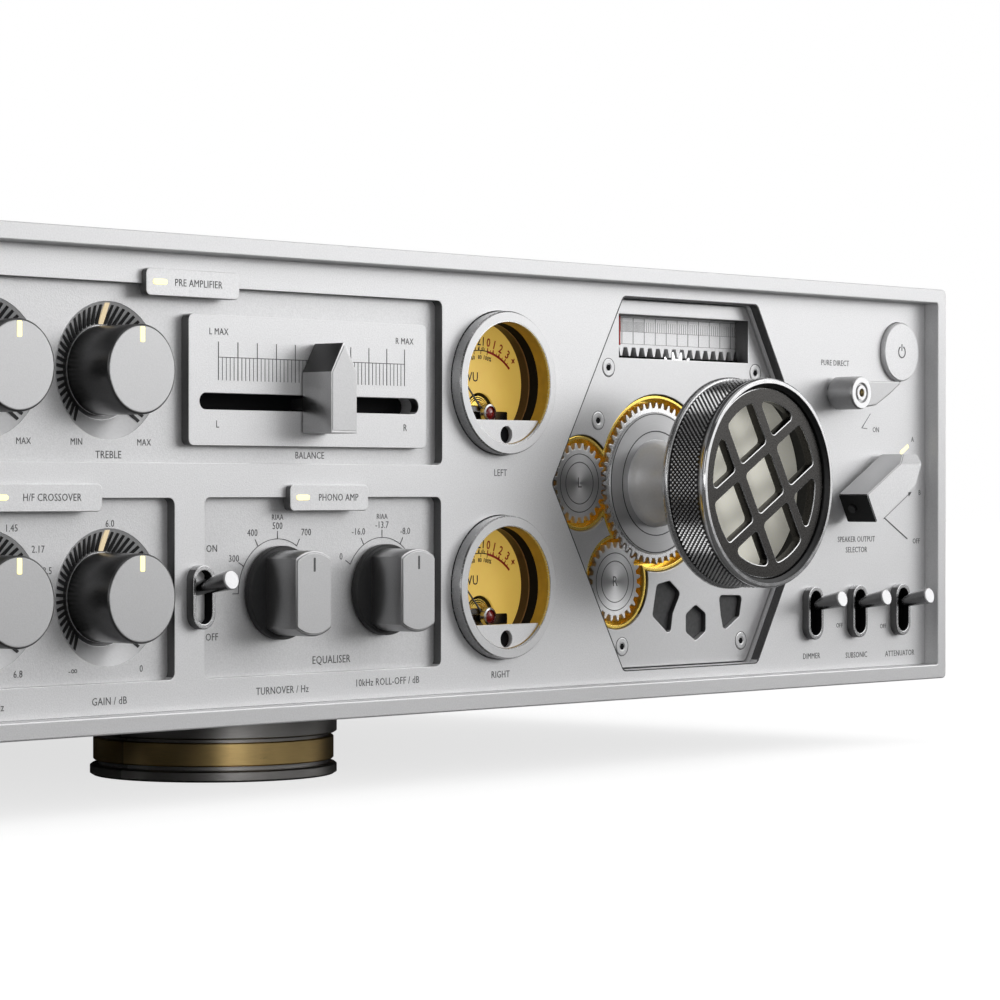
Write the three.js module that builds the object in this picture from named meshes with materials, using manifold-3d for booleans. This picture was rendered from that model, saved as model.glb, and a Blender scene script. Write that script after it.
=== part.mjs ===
// Stereo power amplifier: a milled aluminium front with a geared volume control, two level
// meters and rows of knobs, levers and switches, on a closed case that stands on three feet.
// Millimetres. Inside the case group x runs to the right, y runs back from the front rim,
// and z runs up from the bottom edge of the case.
import * as THREE from 'three';
import { mergeVertices } from 'three/addons/utils/BufferGeometryUtils.js';
import Module from 'manifold-3d';

const wasm = await Module();
wasm.setup();

// ---- driving dimensions ----
const gap = 0.3; // between pieces that touch
const over = 1; // how far cuts and joined solids run past the faces they meet
const caseWidth = 430;
const caseHeight = 110;
const caseDepth = 361.2; // front rim to the outside of the rear panel
const middleDepth = 176.2; // front rim to the middle of the whole object
const footHeight = 18;

const rimWidth = 4;
const rimDepth = 14;
const faceDepth = 4.5; // panel face behind the front rim
const recessDepth = 7; // floors of the grouped control recesses
const panelBack = 12.5;
const recessCorner = 1.5;
const shaftRadius = 3;
const shaftHole = 3.5;
const shaftEnd = panelBack + 3;
const sideThickness = 6;
const coverThickness = 3;
const baseThickness = 2;

const hexagon = { x: 106.5, z: 54.9, apothem: 47.4, front: 8.3, back: 12.6 };
const floorFront = 13; // brass floor under the gears
const floorBack = 16;

const drive = { x: 97, z: 55, teeth: 51 };
const smallTeeth = 24;
const gearModule = 0.8;
const gearFront = 9.1;
const gearBack = 12.6;
const rightGearDirection = 237.5; // degrees, from the drive gear's centre
const pocketClearance = 1;
const linerWall = 0.8;
const linerSet = 0.4; // liner edge behind the hexagon's face
const pinionRoom = 10.2;

const rackModule = 1.05;
const pinion = { x: 111, z: 80.6, teeth: 16, front: 13.2, back: 15.5, thinning: 0.85, shaft: 2.5 };
const rack = { left: 80.6, right: 166.6, top: 98.6, front: 12.9, back: 15.5 };

const volume = { radius: 26.6, front: -28.8, back: -15.4, wall: 24.4, floor: -18.6, lip: 27.8 };
const volumeShaftRadius = 5;
const spider = { radius: 24, ring: 20.8, bar: 3, spacing: 14.5, turn: 30, front: -27, back: -24.4 };

const toneRadius = 9.85;
const toneFront = -4.2;
const dishRadius = 15.1;
const dishFloorRadius = 11;
const dishDepth = 9.6;
const skirtRadius = 10.8;
const skirtFront = -5.2;
const skirtGrip = 9.8;
const skirtThickness = 2;
const flatHalf = 5.7; // half the width across a skirt knob's two flats

const upperRow = 79.5;
const lowerRow = 29.6;
const leftColumn = -127.5;
const rightColumn = -93;
const turnoverX = -41.5;
const rolloffX = -7;
const inputX = -183;

const balance = {
  x: -32.6, slotZ: 73.2, slotLength: 71, slotHeight: 3.7,
  left: -71.5, right: 5.7, bottom: 63.2, top: 92.8, corner: 1.5, relief: 1,
};
const balanceCap = {
  x: -32, half: 4.2, bottom: 66.3, shoulder: 81, apex: 86.4, apexHalf: 0.5, front: -5.3,
};
const balanceStem = { half: 1.5, halfHeight: 1.3 };

const toggle = {
  ringWidth: 6.8, ringHeight: 14.4, slotWidth: 4.8, slotHeight: 12, ringFront: 2.3,
  holeWidth: 5.6, holeHeight: 12.6, pivotDepth: 14.4, tilt: 11, reach: 21.4,
}; // tilt in degrees above level with the switch at ON
const toggles = {
  crossover: { x: -152.5, z: lowerRow },
  phono: { x: -68.7, z: 29.2 },
  cartridge: { x: inputX, z: lowerRow },
  dimmer: { x: 157.3, z: 19.8 },
  subsonic: { x: 177.5, z: 19.8 },
  attenuator: { x: 197.7, z: 19.8 },
};

const meterX = 32.1;
const meterRadius = 17.6;
const meterOpening = 15;
const meterFront = 1.5;
const maskEdge = 8.4; // top of the lower mask, below the centre of the meter
const maskHole = { radius: 2.1, below: 12.7 };
const movementWell = { radius: 5.5, depth: 5 };
const dial = { radius: 15.4, front: 8.3, face: 11.4, back: 34, outside: 17.2 };
const needle = { front: 9.4, back: 9.9, length: 15.6, tail: 1.2, hub: 1.3 };
const meterPivot = 7.7; // below the centre of the meter
const needleRest = 43; // degrees left of upright
const power = { x: 198, z: 92, radius: 8.2, front: 3.1 };
const direct = { x: 168, z: 79.8, radius: 4.5, front: -5.1 };
const directArm = [[0, -4.4], [9, -3.2], [15, -0.2], [21.5, 3.6], [13, 3.4], [3, 3]];
const directArmFront = -3.5;
const standOff = 1.6; // between the panel face and the back of the pure direct lever
const selector = { x: 179, z: 52.3, front: -7, back: 3, chamfer: 2.5 };
const selectorOutline = [[168, 52], [172.3, 44.4], [190.5, 54.5], [194.8, 63.2], [188, 63.2]];

const foot = { radius: 31, waist: 28.9, waistBottom: -15.2, waistTop: -7.7 };
const footBand = { inside: 29.2, outside: 30.2, bottom: -14.2, top: -8.4 };
const frontFootDepth = 73;
const rearFootX = 165;
const rearFootDepth = 300;

const rimCorner = 1;
const sideGroove = { heights: [20, 37.5, 55, 72.5, 90], depth: 1.6, mouth: 1.4, floor: 1 };
const vent = { width: 7, length: 64, pitch: 26, perSide: 4, firstX: 40, firstY: 125, rowPitch: 95 };
const lip = { set: 2, thickness: 2, top: 10 }; // upstand behind the bottom edge of the front
const tabSize = { height: 6.1, corner: 1.2, front: 3 };
const tabs = {
  tab_pre_amplifier: { left: -85.5, right: -57.2, bottom: 96.2 },
  tab_crossover: { left: -130.8, right: -98.2, bottom: 48.5 },
  tab_phono: { left: -41.3, right: -15.6, bottom: 48.4 },
};

const ringCore = { x: -110, y: 235, inner: 18, outer: 62, top: 62, round: 6 };
const circuit = {
  left: -20, right: 190, front: 90, back: 300, bottom: 10, top: 12, inset: 6, pillar: 3,
};
const heatSink = { left: 40, right: 150, front: 118, back: 200, floor: 17, top: 60 };
const fin = { count: 7, pitch: 12, thickness: 3 };
const capacitor = { radius: 14, top: 56, y: 255, xs: [20, 60, 100, 140] };
const inlet = {
  x: 165, z: 36, width: 50, height: 28, mouthWidth: 25, mouthHeight: 17, depth: 16, wall: 2,
};
const inletFlange = 3;
const cutoutMargin = 2;
const terminals = { x: -40, z: 58, width: 128, height: 62, pitchX: 30, pitchZ: 30, border: 6 };
const terminalFlange = 2.5;
const terminalBody = 8; // how far the block reaches in behind the rear panel
const post = { radius: 6.5, length: 20 };

// ---- materials ----
const silver = [0xd2d2d4, 0.42, 0.85];
const bright = [0xe2e2e4, 0.2, 1];
const dark = [0x4c4c50, 0.35, 0.9];
const black = [0x18181a, 0.5, 0.2];
const brass = [0xc79a3c, 0.28, 1];
const amber = [0xd79a1e, 0.5, 0.1];
const steel = [0x6d6e72, 0.5, 0.8];
const board = [0x1d4a35, 0.6, 0.1];

// ---- solid helpers ----
function solid(geometry) {
  const bare = geometry.clone();
  bare.deleteAttribute('normal');
  bare.deleteAttribute('uv');
  const merged = mergeVertices(bare, 1e-4);
  const points = merged.attributes.position;
  const corner = (i) => new THREE.Vector3().fromBufferAttribute(points, i);
  const faces = [];
  let volumeSix = 0;
  for (let i = 0; i < merged.index.count; i += 3) {
    const [a, b, c] = [0, 1, 2].map((k) => merged.index.getX(i + k));
    if (a === b || b === c || c === a) continue;
    faces.push([a, b, c]);
    volumeSix += corner(a).dot(corner(b).cross(corner(c)));
  }
  const outward = volumeSix > 0 ? faces : faces.map(([a, b, c]) => [a, c, b]);
  return new wasm.Manifold(new wasm.Mesh({
    numProp: 3,
    vertProperties: new Float32Array(points.array),
    triVerts: new Uint32Array(outward.flat()),
  }));
}

// A flat outline in x and z, thickened from one depth to another.
function slab(outline, front, back, curveSegments = 6) {
  const depth = back - front;
  const geometry = new THREE.ExtrudeGeometry(outline, { depth, bevelEnabled: false, curveSegments });
  geometry.rotateX(Math.PI / 2);
  geometry.translate(0, back, 0);
  return solid(geometry);
}

// A profile of [radius, depth] points turned about a front-to-back axis at x, z.
function turned(profile, x = 0, z = 0, sides = 24) {
  const points = profile.map(([radius, depth]) => new THREE.Vector2(radius, depth));
  const geometry = new THREE.LatheGeometry(points, sides);
  geometry.translate(x, 0, z);
  return solid(geometry);
}

// A profile of [radius, height] points turned about an upright axis at x, y.
function upright(profile, x, y, sides = 24) {
  const points = profile.map(([radius, height]) => new THREE.Vector2(radius, height));
  const geometry = new THREE.LatheGeometry(points, sides);
  geometry.rotateX(Math.PI / 2);
  geometry.translate(x, y, 0);
  return solid(geometry);
}

function drum(radius, front, back, x = 0, z = 0, sides = 24) {
  return turned([[0, front], [radius, front], [radius, back], [0, back]], x, z, sides);
}

function block(x0, x1, y0, y1, z0, z1) {
  const geometry = new THREE.BoxGeometry(x1 - x0, y1 - y0, z1 - z0);
  geometry.translate((x0 + x1) / 2, (y0 + y1) / 2, (z0 + z1) / 2);
  return solid(geometry);
}

function outlineOf(points) {
  return new THREE.Shape(points.map(([x, z]) => new THREE.Vector2(x, z)));
}

function rounded(x0, x1, z0, z1, radius) {
  const shape = new THREE.Shape();
  shape.moveTo(x0 + radius, z0);
  shape.lineTo(x1 - radius, z0);
  shape.absarc(x1 - radius, z0 + radius, radius, -Math.PI / 2, 0);
  shape.lineTo(x1, z1 - radius);
  shape.absarc(x1 - radius, z1 - radius, radius, 0, Math.PI / 2);
  shape.lineTo(x0 + radius, z1);
  shape.absarc(x0 + radius, z1 - radius, radius, Math.PI / 2, Math.PI);
  shape.lineTo(x0, z0 + radius);
  shape.absarc(x0 + radius, z0 + radius, radius, Math.PI, Math.PI * 1.5);
  return shape;
}

function polar(radius, degrees, x = 0, z = 0) {
  const angle = THREE.MathUtils.degToRad(degrees);
  return [x + radius * Math.cos(angle), z + radius * Math.sin(angle)];
}

function piece(name, body, [color, roughness, metalness]) {
  const mesh = body.getMesh();
  const geometry = new THREE.BufferGeometry();
  geometry.setAttribute('position', new THREE.BufferAttribute(mesh.vertProperties, 3));
  geometry.setIndex(new THREE.BufferAttribute(mesh.triVerts, 1));
  geometry.computeVertexNormals();
  const material = new THREE.MeshStandardMaterial({ color, roughness, metalness });
  const result = new THREE.Mesh(geometry, material);
  result.name = name;
  amplifier.add(result);
}

const amplifier = new THREE.Group();
amplifier.position.set(0, -middleDepth, footHeight);

// ---- case ----
const innerX = caseWidth / 2 - rimWidth;
const innerTop = caseHeight - rimWidth;

function frontFrame() {
  const half = caseWidth / 2;
  const outside = slab(rounded(-half, half, 0, caseHeight, rimCorner), 0, rimDepth, 3);
  const inside = block(-innerX, innerX, -over, rimDepth + over, rimWidth, innerTop);
  return outside.subtract(inside);
}

function hexagonOutline(inset) {
  const radius = (hexagon.apothem - inset) / Math.cos(Math.PI / 6);
  return outlineOf([0, 60, 120, 180, 240, 300].map((a) => polar(radius, a, hexagon.x, hexagon.z)));
}

const recesses = {
  preAmplifier: rounded(-152.5, 11.2, 59.3, 98.8, recessCorner),
  crossover: rounded(-152.5, -75.7, 11, 51.4, recessCorner),
  phono: rounded(-66.6, 10.8, 10.8, 51.5, recessCorner),
};

function dish(x, z) {
  const [top, bottom] = [faceDepth - over, dishDepth];
  return turned([[0, top], [dishRadius, top], [dishRadius, recessDepth],
    [dishFloorRadius, bottom], [0, bottom]], x, z, 20);
}

function stadium(x, z, width, height) {
  const [w, h] = [width / 2, height / 2];
  return rounded(x - w, x + w, z - h, z + h, Math.min(w, h) - 0.01);
}

const toneKnobs = {
  bass_knob: [leftColumn, upperRow],
  treble_knob: [rightColumn, upperRow],
  frequency_knob: [leftColumn, lowerRow],
  gain_knob: [rightColumn, lowerRow],
  input_selector: [inputX, upperRow],
};
const skirtKnobs = {
  turnover_knob: [turnoverX, lowerRow],
  rolloff_knob: [rolloffX, lowerRow],
};

function frontPanel() {
  const edge = innerX - gap;
  const [front, back] = [faceDepth - over, panelBack + over];
  let panel = block(-edge, edge, faceDepth, panelBack, rimWidth + gap, innerTop - gap);
  const cut = (tool) => { panel = panel.subtract(tool); };
  Object.values(recesses).forEach((shape) => cut(slab(shape, front, recessDepth, 1)));
  cut(slab(hexagonOutline(-gap), front, back));
  Object.values(toneKnobs).forEach(([x, z]) => cut(dish(x, z)));
  const shafts = [...Object.values(toneKnobs), ...Object.values(skirtKnobs),
    [direct.x, direct.z], [selector.x, selector.z]];
  shafts.forEach(([x, z]) => cut(drum(shaftHole, front, back, x, z, 8)));
  [upperRow, lowerRow].forEach((z) => cut(drum(meterRadius + gap, front, back, meterX, z, 26)));
  Object.values(toggles).forEach(({ x, z }) => {
    cut(slab(stadium(x, z, toggle.holeWidth, toggle.holeHeight), front, back, 2));
  });
  const slot = stadium(balance.x, balance.slotZ, balance.slotLength + balance.relief,
    balance.slotHeight + balance.relief);
  cut(slab(slot, front, back, 2));
  cut(drum(power.radius + gap, front, back, power.x, power.z, 20));
  return panel;
}

function tab({ left, right, bottom }) {
  const outline = rounded(left, right, bottom, bottom + tabSize.height, tabSize.corner);
  return slab(outline, tabSize.front, faceDepth - gap, 1);
}

function sidePanel(side) {
  const outer = side * caseWidth / 2;
  const inner = outer - side * sideThickness;
  const groove = outer - side * sideGroove.depth;
  const grooves = sideGroove.heights.flatMap((z) => [
    [outer, z - sideGroove.mouth], [groove, z - sideGroove.floor],
    [groove, z + sideGroove.floor], [outer, z + sideGroove.mouth]]);
  const points = [[inner, 0], [outer, 0], ...grooves, [outer, caseHeight], [inner, caseHeight]];
  return slab(outlineOf(points), rimDepth + gap, caseDepth);
}

const betweenSides = caseWidth / 2 - sideThickness - gap;

function topCover() {
  const [front, back] = [rimDepth + gap, caseDepth];
  const underside = caseHeight - coverThickness;
  let cover = block(-betweenSides, betweenSides, front, back, underside, caseHeight);
  const depth = coverThickness + 2 * over;
  for (const [side, row] of [[-1, 0], [1, 0], [-1, 1], [1, 1]]) {
    for (let i = 0; i < vent.perSide; i += 1) {
      const outline = stadium(side * (vent.firstX + i * vent.pitch), 0, vent.width, vent.length);
      const tool = new THREE.ExtrudeGeometry(outline, { depth, bevelEnabled: false, curveSegments: 1 });
      tool.translate(0, vent.firstY + row * vent.rowPitch, underside - over);
      cover = cover.subtract(solid(tool));
    }
  }
  return cover;
}

function chassisBase() {
  const [front, back] = [rimDepth + gap, caseDepth];
  const floor = block(-betweenSides, betweenSides, front, back, 0, baseThickness);
  const lipFront = front + lip.set;
  const upstand = block(-betweenSides, betweenSides, lipFront, lipFront + lip.thickness,
    baseThickness - over, lip.top);
  return floor.add(upstand);
}

const rearFront = caseDepth - coverThickness;

function rearPanel() {
  const [low, high] = [baseThickness + gap, caseHeight - coverThickness - gap];
  const panel = block(-betweenSides, betweenSides, rearFront, caseDepth, low, high);
  const hole = (x, z, w, h) => {
    return block(x - w / 2, x + w / 2, rearFront - over, caseDepth + over, z - h / 2, z + h / 2);
  };
  const inletEdge = 2 * inlet.wall + cutoutMargin;
  const { x, z, width, height, border } = terminals;
  return panel
    .subtract(hole(inlet.x, inlet.z, inlet.mouthWidth + inletEdge, inlet.mouthHeight + inletEdge))
    .subtract(hole(x, z, width - 2 * (border - cutoutMargin), height - 2 * (border - cutoutMargin)));
}

function footCore(x, y) {
  const { radius, waist, waistBottom, waistTop } = foot;
  return upright([[0, -footHeight], [radius, -footHeight], [radius, waistBottom],
    [waist, waistBottom], [waist, waistTop], [radius, waistTop], [radius, -gap], [0, -gap]], x, y);
}

function footRing(x, y) {
  const { inside, outside, bottom, top } = footBand;
  return upright([[inside, bottom], [outside, bottom], [outside, top], [inside, top],
    [inside, bottom]], x, y);
}

// ---- gears ----
// Heights above and below the pitch circle in modules, half widths in shares of the pitch.
const toothForm = { above: 0.75, below: 1.06, rootHalf: 0.31, tipHalf: 0.12, thinning: 0.92 };
const gearBore = 5.6;
const smallShaft = 3;
const smallShaftTail = 4;
const shaftClearance = 0.6;
const volumeShaftTail = 6;
const pinionTail = 8;

function gearOutline(teeth, module, x, z, toothAngle, thinning) {
  const pitchRadius = module * teeth / 2;
  const step = 360 / teeth;
  const corners = [
    [pitchRadius - toothForm.below * module, -toothForm.rootHalf],
    [pitchRadius + toothForm.above * module, -toothForm.tipHalf],
    [pitchRadius + toothForm.above * module, toothForm.tipHalf],
    [pitchRadius - toothForm.below * module, toothForm.rootHalf]];
  const points = [];
  for (let tooth = 0; tooth < teeth; tooth += 1) {
    for (const [radius, share] of corners) {
      points.push(polar(radius, toothAngle + (tooth + share * thinning) * step, x, z));
    }
  }
  return outlineOf(points);
}

const centreDistance = gearModule * (drive.teeth + smallTeeth) / 2;
const driveToothAngle = 180;
const smallGears = [180, rightGearDirection].map((direction) => {
  const [x, z] = polar(centreDistance, direction, drive.x, drive.z);
  const past = (direction - driveToothAngle) / (360 / drive.teeth);
  const share = past - Math.floor(past);
  return { x, z, toothAngle: direction + 180 - (0.5 - share) * (360 / smallTeeth) };
});

function driveGear() {
  const { x, z, teeth } = drive;
  const outline = gearOutline(teeth, gearModule, x, z, driveToothAngle, toothForm.thinning);
  return slab(outline, gearFront, gearBack)
    .subtract(drum(gearBore, gearFront - over, gearBack + over, x, z, 14));
}

function smallGear({ x, z, toothAngle }) {
  const outline = gearOutline(smallTeeth, gearModule, x, z, toothAngle, toothForm.thinning);
  return slab(outline, gearFront, gearBack)
    .add(drum(smallShaft, gearBack - over, floorBack + smallShaftTail, x, z, 16));
}

const smallOuter = gearModule * (smallTeeth / 2 + toothForm.above);
const driveOuter = gearModule * (drive.teeth / 2 + toothForm.above);
const pockets = [
  { x: drive.x, z: drive.z, radius: driveOuter + pocketClearance },
  ...smallGears.map(({ x, z }) => ({ x, z, radius: smallOuter + pocketClearance })),
];

function pocketSpace(growth, front, back) {
  return pockets.map(({ x, z, radius }) => drum(radius + growth, front, back, x, z, 26))
    .reduce((sum, next) => sum.add(next));
}

const rackWindow = { x0: 81.6, x1: 135, z0: 87.3, z1: 98.5 };
const lowerWindows = [
  [[96.8, 28.6], [102, 29.5], [106.4, 26.3], [103.2, 21], [102.2, 15.3], [95, 20.6]],
  [[122.6, 25.3], [132.4, 25], [131.2, 19.5], [124.6, 15.8], [123.4, 20]],
  [90, 150, 210, 270, 330, 30].map((a) => polar(4.7, a, 112.8, 18.3)),
];

function hexPlate() {
  const { front, back } = hexagon;
  let plate = slab(hexagonOutline(0), front, back);
  plate = plate.subtract(pocketSpace(linerWall + gap, front - over, back + over));
  const { x0, x1, z0, z1 } = rackWindow;
  plate = plate.subtract(block(x0, x1, front - over, back + over, z0, z1));
  lowerWindows.forEach((points) => {
    plate = plate.subtract(slab(outlineOf(points), front - over, back + over));
  });
  return plate;
}

function gearBackplate() {
  const floor = pocketSpace(linerWall, hexagon.front + linerSet, floorBack);
  const bores = [{ x: drive.x, z: drive.z, radius: volumeShaftRadius + over },
    ...smallGears.map(({ x, z }) => ({ x, z, radius: smallShaft + shaftClearance }))]
    .map(({ x, z, radius }) => drum(radius, floorFront - over, floorBack + over, x, z, 10));
  const pinionSpace = drum(pinionRoom, floorFront - 0.4, floorBack + over, pinion.x, pinion.z, 16);
  const solids = [pocketSpace(0, hexagon.front - over, floorFront), pinionSpace, ...bores];
  return solids.reduce((body, tool) => body.subtract(tool), floor);
}

const rackPitch = Math.PI * rackModule;
const rackForm = { above: 0.9, below: 1.2, rootHalf: 0.3, tipHalf: 0.1 };
const rackPitchLine = pinion.z + rackModule * pinion.teeth / 2;

function rackSlide() {
  const tipZ = rackPitchLine - rackForm.above * rackModule;
  const rootZ = rackPitchLine + rackForm.below * rackModule;
  const [root, tip] = [rackForm.rootHalf * rackPitch, rackForm.tipHalf * rackPitch];
  const teeth = [];
  const first = Math.ceil((rack.left - pinion.x) / rackPitch) + 1;
  const last = Math.floor((rack.right - pinion.x) / rackPitch) - 1;
  for (let i = first; i <= last; i += 1) {
    const x = pinion.x + i * rackPitch;
    teeth.push([x - root, rootZ], [x - tip, tipZ], [x + tip, tipZ], [x + root, rootZ]);
  }
  const outline = [[rack.left, rootZ], ...teeth, [rack.right, rootZ],
    [rack.right, rack.top], [rack.left, rack.top]];
  return slab(outlineOf(outline), rack.front, rack.back);
}

function rackPinion() {
  const { x, z, teeth, front, back, thinning, shaft } = pinion;
  const outline = gearOutline(teeth, rackModule, x, z, 90 + 180 / teeth, thinning);
  return slab(outline, front, back).add(drum(shaft, back - over, back + pinionTail, x, z, 14));
}

// ---- volume knob ----
function volumeRim() {
  const { radius, front, back, wall, floor, lip: lipRadius } = volume;
  const grip = radius - 0.2;
  return turned([[0, back], [lipRadius, back], [lipRadius, back - 1.2], [grip, back - 1.8],
    [grip, front + 1.4], [radius, front + 0.8], [radius - 0.8, front], [wall + 1, front],
    [wall, front + 1], [wall, floor], [0, floor]], drive.x, drive.z, 32);
}

function volumeSpider() {
  const { front, back } = spider;
  const disc = drum(spider.radius, front, back, 0, 0, 28);
  const opening = drum(spider.ring, front - over, back + over, 0, 0, 28);
  const half = spider.radius - 1;
  const bar = (offset) => {
    return block(-half, half, front, back, offset - spider.bar / 2, offset + spider.bar / 2);
  };
  const pair = bar(-spider.spacing / 2).add(bar(spider.spacing / 2));
  const lattice = pair.add(pair.rotate([0, 90, 0]));
  const body = disc.subtract(opening).add(lattice.intersect(disc));
  return body.rotate([0, spider.turn, 0]).translate([drive.x, 0, drive.z]);
}

function volumeShaft() {
  const neckBack = gearFront - gap;
  const tip = volume.back + gap;
  const shaftBack = floorBack + volumeShaftTail;
  const flare = [[11.4, neckBack], [9.4, 4], [8.8, -2], [10.2, -9], [14, tip]];
  return turned([[0, shaftBack], [volumeShaftRadius, shaftBack], [volumeShaftRadius, neckBack],
    ...flare, [0, tip]], drive.x, drive.z, 20);
}

// ---- knobs, slider and levers ----
function toneKnob(x, z) {
  const back = dishDepth - gap;
  const chamfer = 0.4;
  return turned([[0, toneFront], [toneRadius - chamfer, toneFront],
    [toneRadius, toneFront + chamfer], [toneRadius, back], [shaftRadius, back],
    [shaftRadius, shaftEnd], [0, shaftEnd]], x, z, 20);
}

function skirtKnob(x, z) {
  const skirtBack = recessDepth - gap;
  const skirtFace = skirtBack - skirtThickness;
  const skirt = turned([[0, skirtFace], [skirtRadius, skirtFace], [skirtRadius, skirtBack],
    [shaftRadius, skirtBack], [shaftRadius, shaftEnd], [0, shaftEnd]], x, z, 20);
  const gripBack = skirtBack - over;
  const flats = block(x - flatHalf, x + flatHalf, skirtFront, gripBack,
    z - skirtRadius, z + skirtRadius);
  return drum(skirtGrip, skirtFront, gripBack, x, z, 20).intersect(flats).add(skirt);
}

function balancePlate() {
  const { x, slotZ, slotLength, slotHeight, left, right, bottom, top, corner } = balance;
  const plate = slab(rounded(left, right, bottom, top, corner), faceDepth, recessDepth - gap, 3);
  const slot = stadium(x, slotZ, slotLength, slotHeight);
  return plate.subtract(slab(slot, faceDepth - over, recessDepth, 4));
}

function balanceSlider() {
  const { x, half, bottom, shoulder, apex, apexHalf, front } = balanceCap;
  const cap = slab(outlineOf([[x - half, bottom], [x + half, bottom], [x + half, shoulder],
    [x + apexHalf, apex], [x - apexHalf, apex], [x - half, shoulder]]), front, faceDepth - gap);
  const stem = block(x - balanceStem.half, x + balanceStem.half, faceDepth - gap - over, shaftEnd,
    balance.slotZ - balanceStem.halfHeight, balance.slotZ + balanceStem.halfHeight);
  return cap.add(stem);
}

function toggleBezel({ x, z }) {
  const [front, back] = [toggle.ringFront, faceDepth - gap];
  const ring = slab(stadium(x, z, toggle.ringWidth, toggle.ringHeight), front, back, 3);
  const slot = stadium(x, z, toggle.slotWidth, toggle.slotHeight);
  return ring.subtract(slab(slot, front - over, back + over, 3));
}

function toggleLever({ x, z }) {
  const { reach, tilt, pivotDepth } = toggle;
  const ball = [[0, -2.4], [1.6, -1.8], [2.4, 0], [1.5, 1.9]];
  const shank = [[1.6, reach - 8], [2.25, reach - 0.4], [2, reach], [0, reach]];
  const profile = [...ball, ...shank].map(([radius, along]) => [radius, -along]);
  return turned(profile, 0, 0, 10).rotate([-tilt, 0, 0]).translate([x, pivotDepth, z]);
}

function powerButton() {
  const { x, z, radius, front } = power;
  const chamfer = 0.3;
  return turned([[0, front], [radius - chamfer, front], [radius, front + chamfer],
    [radius, panelBack], [0, panelBack]], x, z, 20);
}

function pureDirectLever() {
  const { x, z, radius, front } = direct;
  const back = faceDepth - standOff;
  const chamfer = 0.4;
  const boss = turned([[0, front], [radius - chamfer, front], [radius, front + chamfer],
    [radius, back], [shaftRadius, back], [shaftRadius, shaftEnd], [0, shaftEnd]], x, z, 16);
  const arm = outlineOf(directArm.map(([across, up]) => [x + across, z + up]));
  return boss.add(slab(arm, directArmFront, back));
}

function speakerSelector() {
  const { x, z, front, back, chamfer } = selector;
  const bar = slab(outlineOf(selectorOutline), front, back);
  const right = Math.max(...selectorOutline.map((point) => point[0]));
  const top = Math.max(...selectorOutline.map((point) => point[1]));
  const corner = outlineOf([[front - over, top + over], [front - over, top - chamfer - over],
    [front + chamfer + over, top + over]]);
  const wedge = new THREE.ExtrudeGeometry(corner, { depth: right - x + 4, bevelEnabled: false });
  wedge.rotateY(Math.PI / 2);
  wedge.rotateX(Math.PI / 2);
  return bar.subtract(solid(wedge)).add(drum(shaftRadius, back - over, shaftEnd, x, z, 14));
}

// ---- meters ----
function meterBezel(z) {
  const [front, back, chamfer] = [meterFront, dial.front - gap, 0.6];
  const ring = turned([[meterOpening, front], [meterRadius - chamfer, front],
    [meterRadius, front + chamfer], [meterRadius, back], [meterOpening, back],
    [meterOpening, front]], meterX, z, 26);
  const low = block(meterX - meterRadius, meterX + meterRadius, 0, back,
    z - meterRadius, z - maskEdge);
  const [maskFront, maskBack] = [meterFront + 1, meterFront + 2.2];
  const mask = drum(meterOpening + 0.6, maskFront, maskBack, meterX, z, 26).intersect(low);
  const jewelHole = drum(maskHole.radius, maskFront - over, maskBack + over,
    meterX, z - maskHole.below, 10);
  return ring.add(mask.subtract(jewelHole));
}

function meterHousing(z) {
  const { radius, front, face, back, outside } = dial;
  const cup = turned([[0, face], [radius, face], [radius, front], [outside, front],
    [outside, back], [0, back]], meterX, z, 24);
  const well = drum(movementWell.radius, face - over, face + movementWell.depth,
    meterX, z - meterPivot, 12);
  const above = block(meterX - radius, meterX + radius, 0, back, z - meterPivot, z);
  return cup.subtract(well.intersect(above));
}

function meterNeedle(z) {
  const { front, back, length, tail, hub } = needle;
  const outline = outlineOf([[-0.35, -tail], [0.35, -tail], [0.3, length], [-0.3, length]]);
  const body = slab(outline, front, back).add(drum(hub, front, back + 0.7, 0, 0, 8));
  return body.rotate([0, -needleRest, 0]).translate([meterX, 0, z - meterPivot]);
}

// ---- inside and rear ----
function transformer() {
  const { x, y, inner, outer, top, round } = ringCore;
  const low = baseThickness + gap;
  return upright([[inner, low], [outer - round, low], [outer, low + round], [outer, top - round],
    [outer - round, top], [inner, top], [inner, low]], x, y, 20);
}

function amplifierBoard() {
  const { left, right, front, back, bottom, top, inset, pillar } = circuit;
  let body = block(left, right, front, back, bottom, top);
  const fused = top - over;
  for (const x of [left + inset, right - inset]) {
    for (const y of [front + inset, back - inset]) {
      body = body.add(block(x - pillar, x + pillar, y - pillar, y + pillar,
        baseThickness + gap, fused));
    }
  }
  const sink = heatSink;
  body = body.add(block(sink.left, sink.right, sink.front, sink.back, fused, sink.floor));
  for (let i = 0; i < fin.count; i += 1) {
    const y = sink.front + 2 + i * fin.pitch;
    body = body.add(block(sink.left, sink.right, y, y + fin.thickness, sink.floor - over, sink.top));
  }
  for (const x of capacitor.xs) {
    body = body.add(upright([[0, fused], [capacitor.radius, fused],
      [capacitor.radius, capacitor.top], [0, capacitor.top]], x, capacitor.y, 10));
  }
  return body;
}

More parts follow.
